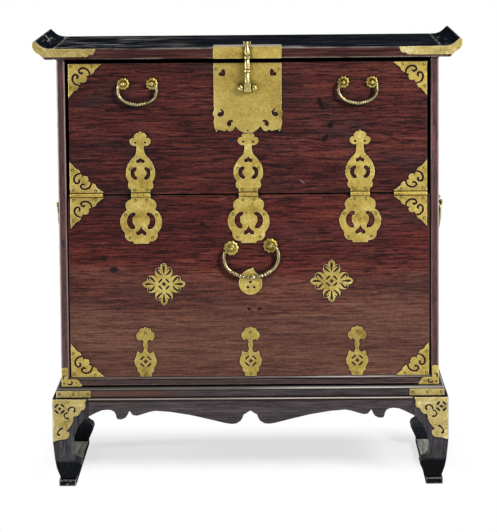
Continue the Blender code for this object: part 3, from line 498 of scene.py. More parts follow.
# a painted highlight along the bead's top, over its brown face
smokedBead = lacqueredElm("smokedElmBead", "X", smokedLook, lines=[
    (apronTop + 1.0 * mm, apronTop - 1.9 * mm, "bdb6aa", brighterRight),
    (apronTop - 1.9 * mm, apronTop - 5.0 * mm, "57452f", even),
])
smokedDeep = lacqueredElm("smokedElmDeep", "Y", smokedLook)
smokedLeg = lacqueredElm("smokedElmLeg", "Z", legLook, low=blackFeet)
# the back legs take paler copies of the black feet and dark sides, painted lighter for the light that reaches them
# in the shade
backFeet = toned(blackFeet, "1e2227 25292f 2e3239")
smokedBackLeg = lacqueredElm("smokedElmBackLeg", "Z", dict(legLook, sides="23272d"), low=backFeet)
bareElm = lacqueredElm("bareElm", "X", bareLook)
blackLong = blackLacquer("blackLacquerTop", "X", sillLook["tones"], facingUp)
blackDeep = blackLacquer("blackLacquerEnd", "Y", sillLook["tones"], facingUp)
# the stop rail, seen in the gap above the fall front, is painted near black as the shade in that gap
blackRail = lacqueredElm("railPaintedShadeBlack", "X", dict(smokedLook, tones=blackFeet["tones"], specular=0.0))
blackFoot = blackLacquer("blackLacquerFoot", "Y", runnerPalePatch["tones"], awayFromPalePatch)
plateBrass = agedBrass("agedSheetBrass")
# the lock plate and the fold above it are wider sheets: tarnish lies in broad clouds, and painted shade reaches
# far across them, to lie around the hasp
lockLook = toned(
    brassLook, "8b7435 b1994e c2ac5c dacc87", patches=(112, 70, 4.0, 0.5), blots=(42, 42, 5.0, 0.8), dull=0.2,
    nookMm=17.0, nookDepth=0.65,
)
foldLook = dict(lockLook, nookMm=9.0, roughness=(0.45, 0.60))
# the vase mounts are duller than the other plates
vaseLook = toned(brassLook, "897234 ae964c bfa95a d6c884")
# caps, strips and leg mounts: rubbed by passers-by, paler and more speckled
capLook = toned(brassLook, "8d7c47 b8a464 cdba78 eee3b6", specks=(4.0, 4.0), dull=0.55)
castLook = toned(
    brassLook, "836e33 a9914b bba658 d4c683", roughness=(0.38, 0.52), dull=0.5, nookMm=3.0, nookDepth=0.75
)
# bails: the same brass, greyer and shinier where hands take hold of it; the hasp and its eyes are brighter
gripLook = toned(
    brassLook, "726742 988c62 b1a679 d0c79d", roughness=(0.26, 0.38), dull=0.6, dent=0.05, nookMm=2.4,
    nookDepth=0.8,
)
haspLook = toned(gripLook, "a2935a bbac6c cdc085 e4dbac", dull=0.25, nookMm=3.0)
vaseBrass = agedBrass("dulledSheetBrass", vaseLook)
lockBrass = agedBrass("agedLockBrass", lockLook)
# the fold's top is painted pale grey: dust, and a painted sheen
foldBrass = agedBrass("foldBrassSheenTop", foldLook, dustAndSheenTop="a79f90")
capBrass = agedBrass("rubbedSheetBrass", capLook)
castBrass = agedBrass("agedCastBrass", castLook)
gripBrass = agedBrass("handledCastBrass", gripLook)
haspBrass = agedBrass("polishedCastBrass", haspLook)
# nail heads: brass pins, dark on the rim and bright on the crown that looks forward
nailLook = {"ring": "241c0e", "crown": "d2c078", "crownTurn": (-0.92, -0.98), "roughness": 0.4}
nailBrass, tree, shader = newMaterial("brassNail")
crown = turnedTo(tree, "Y", nailLook["crownTurn"])
plug(tree, shader, {
    "Base Color": coated(tree, nailLook["ring"], [(crown, nailLook["crown"])]), "Metallic": 1.0,
    "Roughness": nailLook["roughness"],
})
print("materials made")


def bodyOf(node):
    return next(body for body, members in frame["record"]["behaviour"]["bodies"].items() if node in members)


def linked(name, data):
    obj = bpy.data.objects.new(name, data)
    scene.collection.objects.link(obj)
    return obj


def addPiece(name, mesh, material, body, slot, standsFor=()):
    obj = linked(name, mesh)
    mesh.materials.clear()
    mesh.materials.append(material)
    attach(obj, body)
    if standsFor:
        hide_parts(*standsFor)
    return obj


def meshFrom(shape, smoothAngle=35):
    mesh = bpy.data.meshes.new("shape")
    shape.normal_update()
    shape.to_mesh(mesh)
    shape.free()
    mesh.shade_smooth()
    mesh.set_sharp_from_angle(angle=math.radians(smoothAngle))
    return mesh


# Boards: the CAD board with its arrises eased by a plane
boardArris = {"width": 1.1 * mm, "segments": 3, "fromTurn": 40}
boards = {
    "lacquered_wood": {
        "fall_front_panel": panelElm, "lower_front": lowerElm, "sill": frameLong,
        "side_board_left": frameUpright, "side_board_right": frameUpright, "back_panel": bareElm,
        "bottom_board": bareElm, "stop_rail": blackRail,
    },
    "black_lacquer": {
        "top_board": blackLong, "top_end_left": blackDeep, "top_end_right": blackDeep,
        "runner_left": blackFoot, "runner_right": blackFoot,
    },
    "stand_wood": {
        "waist_board": smokedWaist, "apron_front": smokedApron, "apron_back": smokedLong,
        "apron_left": smokedDeep, "apron_right": smokedDeep, "leg_front_left": smokedLeg,
        "leg_front_right": smokedLeg, "leg_back_left": smokedBackLeg, "leg_back_right": smokedBackLeg,
    },
}


def nodeShape(node):
    # a copy of the CAD node, its loose triangles merged
    shape = bmesh.new()
    shape.from_mesh(frame["nodes"][node].data)
    bmesh.ops.remove_doubles(shape, verts=shape.verts, dist=weld)
    return shape


def easedPiece(node, finish, material, slot, arris):
    # the CAD piece with its flat faces whole and its arrises taken off
    shape = nodeShape(node)
    bmesh.ops.dissolve_limit(shape, angle_limit=flatTurn, verts=shape.verts, edges=shape.edges)
    piece = addPiece(f"{node}.{finish}", meshFrom(shape), material, bodyOf(node), slot, [node])
    bevel = piece.modifiers.new("arris", "BEVEL")
    bevel.width, bevel.segments = arris["width"], arris["segments"]
    bevel.limit_method = "ANGLE"
    bevel.angle_limit = math.radians(arris["fromTurn"])
    bevel.harden_normals = True


for slot, planed in boards.items():
    for node, material in planed.items():
        easedPiece(node, "planed", material, slot, boardArris)
print("boards planed:", sum(map(len, boards.values())))


# Brass plates: outlines are read off the CAD plate, drawn smooth between its corners and given a filed edge
plateEdge = {
    "chamfer": 0.55 * mm, "cornerTurn": 58, "straightRun": 17 * mm, "step": 1.3 * mm,
    "level": 0.02 * mm, "forward": -0.999,
}


def frontLoops(node):
    # outer and inner outlines of a plate's front face, as (x, z), and the face's y
    shape = nodeShape(node)
    flat = [face for face in shape.faces if face.normal.y < plateEdge["forward"]]
    areas = {}
    for face in flat:
        level = round(face.calc_center_median().y, 5)
        areas[level] = areas.get(level, 0) + face.calc_area()
    front = max(areas, key=areas.get)
    chosen = {face for face in flat if abs(face.calc_center_median().y - front) < plateEdge["level"]}
    rim = {}
    for edge in shape.edges:
        if sum(face in chosen for face in edge.link_faces) == 1:
            for a, b in (edge.verts, reversed(edge.verts)):
                rim.setdefault(a, []).append(b)
    loops = []
    while rim:
        here = next(iter(rim))
        loop = []
        while here is not None:
            loop.append((here.co.x, here.co.z))
            ways = rim.pop(here)
            here = next((way for way in ways if way in rim), None)
        loops.append(loop)
    shape.free()
    return loops, front


def smoothLoop(points, edge=plateEdge):
    # a curve through the points; sharp corners and long straight runs stay as they are
    flat = [Vector(p) for p in points]
    count = len(flat)
    runs = [flat[(i + 1) % count] - flat[i] for i in range(count)]

    def heading(i):
        before, after = runs[i - 1], runs[i]
        if before.angle(after, 0) > math.radians(edge["cornerTurn"]):
            return before.normalized(), after.normalized()
        if before.length > edge["straightRun"]:
            way = before.normalized()
        elif after.length > edge["straightRun"]:
            way = after.normalized()
        else:
            way = (before.normalized() * after.length + after.normalized() * before.length).normalized()
        return way, way

    out = []
    for i, run in enumerate(runs):
        p, q = flat[i], flat[(i + 1) % count]
        leave, arrive = heading(i)[1] * run.length, heading((i + 1) % count)[0] * run.length
        steps = max(1, math.ceil(run.length / edge["step"]))
        if run.length > edge["straightRun"]:
            steps = 1
        for s in range(steps):
            t = s / steps
            out.append(
                p * (2 * t ** 3 - 3 * t ** 2 + 1) + leave * (t ** 3 - 2 * t ** 2 + t)
                + q * (3 * t ** 2 - 2 * t ** 3) + arrive * (t ** 3 - t ** 2)
            )
    return out


def cutPlate(loops, front, back, chamfer=plateEdge["chamfer"]):
    # sheet sawn to the loops in the chest's front plane, from y = front to y = back
    curve = bpy.data.curves.new("sawnSheet", "CURVE")
    curve.dimensions = "2D"
    curve.fill_mode = "BOTH"
    curve.extrude = (back - front) / 2 - chamfer
    curve.bevel_depth = chamfer
    curve.bevel_resolution = 0
    curve.offset = -chamfer
    for loop in loops:
        spline = curve.splines.new("POLY")
        spline.points.add(len(loop) - 1)
        spline.use_cyclic_u = True
        for point, (a, b) in zip(spline.points, loop):
            point.co = (a, b, 0, 1)
    sheet = linked("sawnSheet", curve)
    mesh = bpy.data.meshes.new_from_object(sheet.evaluated_get(bpy.context.evaluated_depsgraph_get()))
    bpy.data.objects.remove(sheet)
    bpy.data.curves.remove(curve)
    mesh.transform(Matrix.Translation((0, (front + back) / 2, 0)) @ Matrix.Rotation(math.pi / 2, 4, "X"))
    shape = bmesh.new()
    shape.from_mesh(mesh)
    bpy.data.meshes.remove(mesh)
    bmesh.ops.remove_doubles(shape, verts=shape.verts, dist=weld)
    bmesh.ops.recalc_face_normals(shape, faces=shape.faces)
    return shape


def turns(sides):
    return [2 * math.pi * i / sides for i in range(sides)]


def skinRings(shape, rings):
    # a capped tube through rings of points
    made = [[shape.verts.new(point) for point in ring] for ring in rings]
    faces = [shape.faces.new(made[0]), shape.faces.new(made[-1])]
    for low, high in zip(made, made[1:]):
        for i in range(len(low)):
            j = (i + 1) % len(low)
            faces.append(shape.faces.new((low[i], low[j], high[j], high[i])))
    return faces


def addBar(shape, x0, x1, y, z, radius, sides=28, chamfer=0.5 * mm):
    # a round bar along X with chamfered ends
    ends = [(x0, radius - chamfer), (x0 + chamfer, radius), (x1 - chamfer, radius), (x1, radius - chamfer)]
    rings = [[(x, y + r * math.cos(t), z + r * math.sin(t)) for t in turns(sides)] for x, r in ends]
    bmesh.ops.recalc_face_normals(shape, faces=skinRings(shape, rings))


def addBox(shape, low, high):
    corners = [shape.verts.new(corner) for corner in product(*zip(low, high))]
    faces = [
        shape.faces.new([corners[i] for i in quad])
        for quad in ((0, 1, 3, 2), (4, 6, 7, 5), (0, 4, 5, 1), (2, 3, 7, 6), (0, 2, 6, 4), (1, 5, 7, 3))
    ]
    bmesh.ops.recalc_face_normals(shape, faces=faces)


# Knuckles of the hinges and the rolled bead between them, on the fall front's pin
hingeBarrel = {
    "radius": 4.2 * mm, "width": 12.5 * mm, "play": 0.4 * mm, "pin": 1.9 * mm, "strap": 7.4 * mm,
    "inset": 0.2 * mm,
}
edgeBead = {"radius": 3.6 * mm, "length": 65.5 * mm}


def addBarrel(shape, x0, x1, radius, front, back, strap):
    # a barrel on the pin, with the sheet that is rolled into it; strap is how far that reaches up
    _, y, z = pinPlace
    addBar(shape, x0, x1, y, z, radius)
    foot, head = sorted((z, z + strap))
    addBox(shape, (x0, front + hingeBarrel["inset"], foot), (x1, back - hingeBarrel["inset"], head))


# Nails in the plates, in mm: on hinges from the pin, on other plates from the outer end of their pin line or
# corner line, on the lock plate as a share of its width from the middle, and up from its foot
nailSpots = {
    "hinge_upper": [(-20.5, 52.0), (20.5, 52.0), (-12.5, 10.0), (12.5, 10.0)],
    "hinge_lower": [
        (-31.0, -40.0), (31.0, -40.0), (-22.5, -86.0), (22.5, -86.0), (-11.2, -10.4), (11.2, -10.4),
    ],
    "edge_mount_upper": [(7.0, 10.4), (51.0, 9.0), (5.6, 50.0)],
    "edge_mount_lower": [(7.0, -9.6), (51.0, -8.0), (5.6, -50.0)],
    "corner_mount": [(5.0, -5.0), (48.0, -4.4), (4.4, -48.0)],
    "foot_mount": [(5.0, 5.0), (48.0, 4.4), (4.4, 48.0)],
}
lockNails = [(0.0, 4.4), (-0.455, 5.0), (0.455, 5.0), (-0.455, 127.0), (0.455, 127.0)]
nails = {"case": [], "fall_front": []}
plateKinds = ("hinge_", "corner_mount", "edge_mount", "foot_mount", "leg_mount", "lock_plate", "peach")
plateSheets = {"lock_plate": lockBrass, "leg_mount_left": capBrass, "leg_mount_right": capBrass}
plateNodes = [node for node in frame["nodes"] if node.startswith(plateKinds)]
for node in plateNodes:
    loops, front = frontLoops(node)
    low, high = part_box(node)
    shape = cutPlate([smoothLoop(loop) for loop in loops], front, high.y)
    middle = (low.x + high.x) / 2
    radius, width, strap = hingeBarrel["radius"], hingeBarrel["width"], hingeBarrel["strap"]
    if node.startswith("hinge_upper"):
        addBarrel(shape, middle - width / 2, middle + width / 2, radius, front, high.y, strap)
    if node.startswith("hinge_lower"):
        for sign in (-1, 1):
            reach = width / 2 + hingeBarrel["play"]
            near, far = sorted((middle + sign * reach, middle + sign * (reach + width)))
            addBarrel(shape, near, far, radius, front, high.y, -strap)
        addBar(shape, middle - width, middle + width, pinPlace[1], pinPlace[2], hingeBarrel["pin"])
    if node.startswith("edge_mount_upper"):
        start = low.x if node.endswith("left") else high.x - edgeBead["length"]
        addBarrel(shape, start, start + edgeBead["length"], edgeBead["radius"], front, high.y, strap)
    for kind, spots in nailSpots.items():
        if node.startswith(kind):
            sign = -1 if node.endswith("right") else 1
            if kind.startswith("hinge"):
                start, sign, level = middle, 1, pinPlace[2]
            else:
                start = high.x if sign < 0 else low.x
                level = {"corner": high.z, "foot": low.z}.get(kind.split("_")[0], pinPlace[2])
            nails[bodyOf(node)] += [(start + sign * a * mm, front, level + b * mm) for a, b in spots]
    sheet = plateSheets.get(node, plateBrass)
    addPiece(f"{node}.filed", meshFrom(shape, 30), sheet, bodyOf(node), "brass", [node])
    if node == "lock_plate":
        across = high.x - low.x
        nails["fall_front"] += [(middle + a * across, low.y, low.z + b * mm) for a, b in lockNails]
print("plates filed:", len(plateNodes))

# Hasp plate, folded over the top's front edge
foldArris = {"width": 0.3 * mm, "segments": 2, "fromTurn": 40}
easedPiece("hasp_plate", "filed", foldBrass, "brass", foldArris)


# Turned and cast brass
def turned(profile, sides=40, lobes=0, lobed=(), depth=0.0):
    # (radius, height) turned about Z; rings from lobed[0] to lobed[1] swell into petals
    rings = []
    for k, (r, h) in enumerate(profile):
        swell = depth if lobes and lobed[0] <= k <= lobed[1] else 0.0
        ring = []
        for t in turns(sides):
            reach = r * (1 - swell * (1 - abs(math.cos(t * lobes / 2))))
            ring.append((reach * math.cos(t), reach * math.sin(t), h))
        rings.append(ring)
    shape = bmesh.new()
    skinRings(shape, rings)
    bmesh.ops.remove_doubles(shape, verts=shape.verts, dist=weld)
    bmesh.ops.recalc_face_normals(shape, faces=shape.faces)
    return shape


def ballArc(radius, height, degrees):
    # (radius, height) up the side of a ball
    return [
        (radius * math.cos(math.radians(d)), height + radius * math.sin(math.radians(d))) for d in degrees
    ]


def smoothLine(points, steps):
    # points between those given, on a curve through them
    out = []
    for i in range(len(points) - 1):
        a, b, c, d = (Vector(points[min(max(i + k, 0), len(points) - 1)]) for k in (-1, 0, 1, 2))
        for s in range(steps):
            t = s / steps
            out.append(
                b + (c - a) * (t / 2) + (a - b * 2.5 + c * 2 - d / 2) * t ** 2
                + (b * 3 - a - c * 3 + d) * (t ** 3 / 2)
            )
    return out + [Vector(points[-1])]


def barAlong(path, sides=16):
    # a round bar along points of (x, z, radius), in the plane y = 0
    rings = []
    for i, (x, z, r) in enumerate(path):
        x0, z0, _ = path[max(i - 1, 0)]
        x1, z1, _ = path[min(i + 1, len(path) - 1)]
        way = Vector((x1 - x0, z1 - z0)).normalized()
        ring = []
        for t in turns(sides):
            c, s = r * math.cos(t), r * math.sin(t)
            ring.append((x - way.y * c, s, z + way.x * c))
        rings.append(ring)
    shape = bmesh.new()
    bmesh.ops.recalc_face_normals(shape, faces=skinRings(shape, rings))
    return shape


# Bails, in mm from the middle of each eye post: (outwards, up, radius); beads are (distance from the middle
# of the bar, half length, radius)
doorBail = {
    "pintle": (-6.0, 5.4, 1.7), "rosette": 12.6, "stout": 1.12,
    "line": [
        (9.2, -3.2, 2.0), (9.5, -9.2, 2.2), (9.4, -16.6, 2.4), (6.2, -25.8, 2.6), (-2.2, -33.6, 2.6),
        (-13.0, -38.4, 2.6), (-28.3, -41.2, 2.4),
    ],
    "beads": [(0.0, 2.3, 3.4), (4.7, 2.3, 3.4), (9.4, 2.3, 3.3), (14.0, 2.1, 3.3)],
}
lowerBail = {
    "pintle": (-6.0, 5.4, 1.7), "rosette": 15.4, "stout": 1.2,
    "line": [
        (11.6, -3.6, 2.2), (14.4, -9.6, 2.4), (15.4, -19.0, 2.5), (13.8, -30.0, 2.8), (8.2, -40.2, 2.9),
        (-1.2, -48.4, 2.6), (-14.6, -55.8, 2.4), (-30.0, -59.4, 2.2), (-38.9, -59.8, 2.2),
    ],
    "beads": [
        (0.0, 6.6, 4.9), (9.2, 2.0, 4.1), (13.4, 1.5, 3.6), (19.0, 3.0, 3.6), (25.6, 2.6, 3.9),
        (31.0, 2.0, 3.6), (36.4, 2.6, 3.9), (42.6, 1.4, 3.7), (45.8, 1.4, 3.7),
    ],
}
bailTurning = {"curveSteps": 14, "step": 0.55, "beadRound": 0.72}


def bailShape(bail, half):
    # half is the distance from the handle's middle to a post
    inner, outer, pintleR = bail["pintle"]
    stout = bail["stout"]
    right = [(half + x, z, r * stout) for x, z, r in bail["line"]]
    right.insert(0, (half + outer, 0.0, pintleR))
    curve = smoothLine(right, bailTurning["curveSteps"])
    back, lengths = curve[::-1], [0.0]
    for a, b in zip(back, back[1:]):
        lengths.append(lengths[-1] + (a.xy - b.xy).length)
    spots = list(zip(curve, lengths[::-1]))

    def radiusAt(place, radius):
        for middle, reach, bead in bail["beads"]:
            near = (place - middle) / reach
            if abs(near) < 1:
                swell = math.sqrt(1 - bailTurning["beadRound"] * near ** 2)
                radius = max(radius, bead * stout * swell)
        return radius

    dense = []
    for (a, la), (b, lb) in zip(spots, spots[1:]):
        steps = max(1, math.ceil((la - lb) / bailTurning["step"]))
        for s in range(steps):
            t = s / steps
            p = a.lerp(b, t)
            dense.append((p.x, p.y, radiusAt(la + (lb - la) * t, p.z)))
    last = curve[-1]
    side = [(half + inner, 0.0, pintleR), *dense]
    path = [*side, (0.0, last.y, radiusAt(0.0, last.z)), *((-x, z, r) for x, z, r in reversed(side))]
    return barAlong([(x * mm, z * mm, r * mm) for x, z, r in path])


# Eye posts: a petalled rosette with a ball that the bail's pintle turns in; heights in mm from the wood. The
# dish is (share of the radius, height).
rosette = {
    "petals": 10, "petalDepth": 0.13, "petalRings": (1, 6), "standoff": 12.5, "ball": 4.6, "stem": 3.4,
    "dish": [
        (0.0, 0.0), (1.0, 0.0), (1.0, 0.9), (0.93, 2.1), (0.80, 3.0), (0.68, 3.2), (0.58, 2.6), (0.52, 1.4),
        (0.44, 1.3),
    ],
}


def postShape(radius, look=rosette):
    ball, out, stem = look["ball"], look["standoff"], look["stem"]
    profile = [(radius * share, height) for share, height in look["dish"]]
    profile += [(stem * 1.3, 2.6), (stem, 4.6), (stem * 0.92, out - ball * 0.9)]
    profile += [*ballArc(ball, out, range(-48, 90, 12)), (0.0, out + ball)]
    sized = [(r * mm, h * mm) for r, h in profile]
    return turned(sized, 80, look["petals"], look["petalRings"], look["petalDepth"])


def jointOf(body):
    return next(j for j in frame["joints"] if j["child"] == body)


handles = {
    "bail_door_left": doorBail, "bail_door_right": doorBail, "bail_lower": lowerBail,
    "bail_side_left": lowerBail, "bail_side_right": lowerBail,
}
sideLean = math.radians(6.5)  # the side bails are bent to lie against the case
for name, bail in handles.items():
    joint = jointOf(name)
    posts = [name.replace("bail", "post") + side for side in ("_a", "_b")]
    middles = [sum(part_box(post), Vector()) / 2 for post in posts]
    half = (middles[1] - middles[0]).length / 2
    across = Vector(joint["axis"]).normalized()
    if name == "bail_side_left":
        across = -across
    outward = across.cross(Vector((0, 0, 1))).normalized()
    upright = outward.cross(across).normalized()
    seat = Matrix((across, -outward, upright)).transposed().to_4x4()
    seat.translation = joint["pos_m"]
    shape = bailShape(bail, half / mm)
    if name.startswith("bail_side"):
        bmesh.ops.rotate(shape, matrix=Matrix.Rotation(sideLean, 3, "X"), verts=shape.verts)
    bmesh.ops.transform(shape, matrix=seat, verts=shape.verts)
    addPiece(f"{name}.cast", meshFrom(shape, 50), gripBrass, name, "brass", [name])
    for post, sign in zip(posts, (-1, 1)):
        shape = postShape(bail["rosette"])
        foot = seat @ Matrix.Translation((sign * half, rosette["standoff"] * mm, 0))
        bmesh.ops.transform(shape, matrix=foot @ Matrix.Rotation(math.pi / 2, 4, "X"), verts=shape.verts)
        addPiece(f"{post}.cast", meshFrom(shape, 50), castBrass, bodyOf(post), "brass", [post])
print("handles cast:", len(handles))

# Hasp: a turned rod ending in a square block, and the two eyes beside it; (radius, drop) in mm from its pin
haspTurning = [
    (0.0, -4.3), (2.2, -3.7), (3.6, -2.4), (4.3, 0.0), (3.6, 2.4), (2.6, 4.2), (2.9, 5.4), (3.6, 8.2),
    (4.7, 12.4), (5.4, 16.6), (5.5, 18.6), (5.1, 21.6), (4.0, 24.0), (3.6, 25.2), (5.7, 26.2), (5.8, 28.4),
    (5.7, 30.4), (3.8, 31.2), (4.9, 33.0), (5.3, 41.0), (4.9, 50.0), (3.6, 51.2), (5.9, 52.2), (6.0, 54.6),
    (5.9, 57.0), (3.4, 58.0), (4.6, 60.0), (4.6, 81.0), (0.0, 81.0),
]
haspBlock = {
    "low": (-6.8, -5.5, -95.6), "high": (6.8, 5.5, -80.0),
    "bevel": {"offset": 1.3 * mm, "segments": 3, "profile": 0.6, "affect": "EDGES"},
}
eyeStem = 3.0
haspPin = Vector(jointOf("hasp")["pos_m"])
shape = turned([(r * mm, -drop * mm) for r, drop in haspTurning], 36)
block = bmesh.new()
addBox(block, *([x * mm for x in haspBlock[corner]] for corner in ("low", "high")))
bmesh.ops.bevel(block, geom=list(block.edges), **haspBlock["bevel"])
blockMesh = bpy.data.meshes.new("haspBlock")
block.to_mesh(blockMesh)
block.free()
shape.from_mesh(blockMesh)
bpy.data.meshes.remove(blockMesh)
bmesh.ops.translate(shape, verts=shape.verts, vec=haspPin)
addPiece("hasp.cast", meshFrom(shape, 40), haspBrass, "hasp", "brass", ["hasp"])
for side in ("left", "right"):
    node = f"eye_staple_{side}"
    low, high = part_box(node)
    ball, stem = (high.z - low.z) / 2 / mm, eyeStem
    reach = (high.y - haspPin.y) / mm
    profile = [
        (0.0, -reach), (stem * 1.5, -reach), (stem * 1.5, -reach * 0.85), (stem, -reach * 0.75),
        (stem, -ball * 0.8), *ballArc(ball, 0.0, range(-50, 80, 13)),
        (ball * 0.3, ball * 0.92), (ball * 0.22, ball * 0.80), (0.0, ball * 0.76),
    ]
    shape = turned([(r * mm, h * mm) for r, h in profile], 32)
    seat = Matrix.Translation(((low.x + high.x) / 2, haspPin.y, (low.z + high.z) / 2))
    bmesh.ops.transform(shape, matrix=seat @ Matrix.Rotation(math.pi / 2, 4, "X"), verts=shape.verts)
    addPiece(f"{node}.cast", meshFrom(shape, 50), haspBrass, "fall_front", "brass", [node])
print("hasp and eyes cast")


# Thin sheet trim, nailed to the front; outlines in mm
trimSheet = {"thick": 1.1, "bed": 0.3, "chamfer": 0.35 * mm, "slotSteps": 5}


def strokeLoop(line):
    # outline of a sawn slot along (x, z, half width)
    points = smoothLine(line, trimSheet["slotSteps"])
    left, right = [], []
    for i, p in enumerate(points):
        way = (points[min(i + 1, len(points) - 1)].xy - points[max(i - 1, 0)].xy).normalized()
        side = Vector((-way.y, way.x)) * p.z
        left.append(p.xy + side)
        right.append(p.xy - side)
    return left + right[::-1]


def roundLoop(x, z, radius, sides=14):
    return [Vector((x + radius * math.cos(t), z + radius * math.sin(t))) for t in turns(sides)]


def flipped(loop, x=1, z=1):
    return [Vector((x * p[0], z * p[1])) for p in loop]


def placed(loop, x, z, turn=0.0):
    c, s = math.cos(turn), math.sin(turn)
    return [Vector(((x + p[0] * c - p[1] * s) * mm, (z + p[0] * s + p[1] * c) * mm)) for p in loop]


coin = {
    "diamond": [(0.0, 4.6), (4.6, 0.0), (0.0, -4.6), (-4.6, 0.0)],
    "slot": [(10.8, 2.9, 0.9), (9.4, 4.6, 1.7), (4.9, 9.1, 1.7), (3.1, 10.6, 0.9)],
}


def coinLoops():
    slot = strokeLoop(coin["slot"])
    return [coin["diamond"], *(flipped(slot, x, z) for z in (1, -1) for x in (1, -1))]


def addTrim(name, loops, front, thick=trimSheet["thick"], nailed=(), sheet=plateBrass):
    # nailed gives nail places as (x, z) in mm
    outside = front - (thick + trimSheet["bed"]) * mm
    shape = cutPlate(loops, outside, front - trimSheet["bed"] * mm, trimSheet["chamfer"])
    addPiece(name, meshFrom(shape, 30), sheet, "case", "brass")
    nails["case"] += [(x * mm, outside, z * mm) for x, z in nailed]


vaseMount = {
    "centres": (-209.0, 1.6, 215.0), "lift": 0.8, "tall": 1.03, "coin": 30.6, "nails": (4.6, 89.0),
    "half": [
        (11.4, 0.0), (11.8, 7.2), (14.6, 8.6), (16.8, 13.0), (16.0, 16.2), (17.6, 18.0), (20.8, 23.6),
        (22.2, 30.0), (20.6, 36.2), (18.4, 40.8), (17.6, 45.8), (15.2, 50.0), (11.6, 46.8), (7.2, 46.0),
        (4.2, 50.0), (3.6, 57.2), (5.0, 61.4), (4.0, 65.4), (4.6, 70.4), (9.0, 73.0), (13.2, 70.6),
        (17.4, 75.8), (18.2, 80.8), (15.6, 86.6), (12.2, 88.8), (9.4, 94.6), (4.6, 95.2), (0.0, 97.6),
    ],
}
vaseFoot = lowerBox[0].z / mm + vaseMount["lift"]
panelFront = lowerBox[0].y
for number, x in enumerate(vaseMount["centres"], 1):
    half = vaseMount["half"]
    outline = [(a, b * vaseMount["tall"]) for a, b in [*half, *flipped(half[-2::-1], -1)]]
    loops = [smoothLoop(placed(outline, x, vaseFoot))]
    loops += [placed(loop, x, vaseFoot + vaseMount["coin"]) for loop in coinLoops()]
    nailed = [(x, vaseFoot + up) for up in vaseMount["nails"]]
    addTrim(f"vaseMount{number}", loops, panelFront, nailed=nailed, sheet=vaseBrass)

# Cloud mounts: four cloud heads around a coin, placed in mm from the hinge pin
cloudMount = {
    "centres": ((-170.6, -179.9), (164.4, -175.9)), "nails": ((0.0, 38.6), (0.0, -38.6)),
    "lobe": [
        (17.5, -45), (24.0, -42), (31.0, -34), (35.0, -26), (35.0, -18), (32.0, -13), (37.5, -10),
        (41.5, -4.5), (43.0, 0), (41.5, 4.5), (37.5, 10), (32.0, 13), (35.0, 18), (35.0, 26), (31.0, 34),
        (24.0, 42),
    ],  # (radius, degrees)
    "scroll": [(17.5, 3.0, 0.5), (21.5, 8.6, 1.9), (28.0, 13.4, 2.3), (31.6, 9.6, 1.7), (28.4, 6.4, 0.5)],
    "drop": [(19.5, 0.0, 0.5), (25.5, 0.0, 1.6), (34.0, 0.0, 2.6), (38.4, 0.0, 0.7)],
}
for number, (x, drop) in enumerate(cloudMount["centres"], 1):
    z = pinPlace[2] / mm + drop
    outline, loops = [], [placed(loop, x, z) for loop in coinLoops()]
    for quarter in range(4):
        lean = quarter * math.pi / 2
        outline += [
            Vector((r * math.cos(lean + math.radians(a)), r * math.sin(lean + math.radians(a))))
            for r, a in cloudMount["lobe"]
        ]
        scroll = strokeLoop(cloudMount["scroll"])
        for loop in (scroll, flipped(scroll, 1, -1), strokeLoop(cloudMount["drop"])):
            loops.append(placed(loop, x, z, lean))
    nailed = [(x + a, z + b) for a, b in cloudMount["nails"]]
    addTrim(f"cloudMount{number}", [smoothLoop(placed(outline, x, z)), *loops], panelFront, nailed=nailed)

# Corner straps on the frame: from the outer bottom corner, inwards and up
cornerStrap = {
    "outline": [
        (0.4, 0.4), (39.6, 0.4), (40.8, 3.0), (39.8, 6.4), (36.6, 8.6), (35.8, 11.8), (33.4, 14.0),
        (29.6, 15.2), (13.6, 15.4), (13.5, 38.0), (10.2, 39.6), (5.0, 39.2), (0.4, 39.8),
    ],
    "slots": [
        [(11.0, 7.4, 0.6), (14.4, 5.2, 1.6), (19.0, 5.4, 1.9), (21.4, 9.0, 1.7), (19.0, 12.4, 0.6)],
        [(10.0, 22.6, 0.6), (5.8, 22.8, 1.5), (3.8, 19.2, 1.8), (4.8, 15.2, 0.6)],
    ],
    "dots": [(5.4, 6.9, 1.7), (29.6, 8.6, 1.4)],
}
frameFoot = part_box("side_board_left")[0]
for side, sign in (("Left", 1), ("Right", -1)):
    loops = [cornerStrap["outline"], *map(strokeLoop, cornerStrap["slots"])]
    loops += [roundLoop(*dot) for dot in cornerStrap["dots"]]
    edge = -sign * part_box("side_board_right")[1].x / mm
    loops = [placed(flipped(loop, sign), edge, frameFoot.z / mm) for loop in loops]
    addTrim(f"cornerStrap{side}", [smoothLoop(loops[0]), *loops[1:]], frameFoot.y)

# Plain strips on the ends of the waist, in mm
waistStrip = {
    "length": 69.0, "height": 13.4, "foot": 1.4, "inset": 0.6,
    "nails": ((6.0, 6.8), (34.0, 6.8), (63.0, 6.8)),
}
for side, sign in (("Left", 1), ("Right", -1)):
    start = -sign * (waistBox[1].x / mm - waistStrip["inset"])
    level = waistBox[0].z / mm + waistStrip["foot"]
    length, height = waistStrip["length"], waistStrip["height"]
    loop = [(0.0, 0.0), (length, 0.0), (length, height), (0.0, height)]
    loop = placed(flipped(loop, sign), start, level)
    nailed = [(start + sign * a, level + b) for a, b in waistStrip["nails"]]
    addTrim(f"waistStrip{side}", [loop], waistBox[0].y, nailed=nailed, sheet=capBrass)

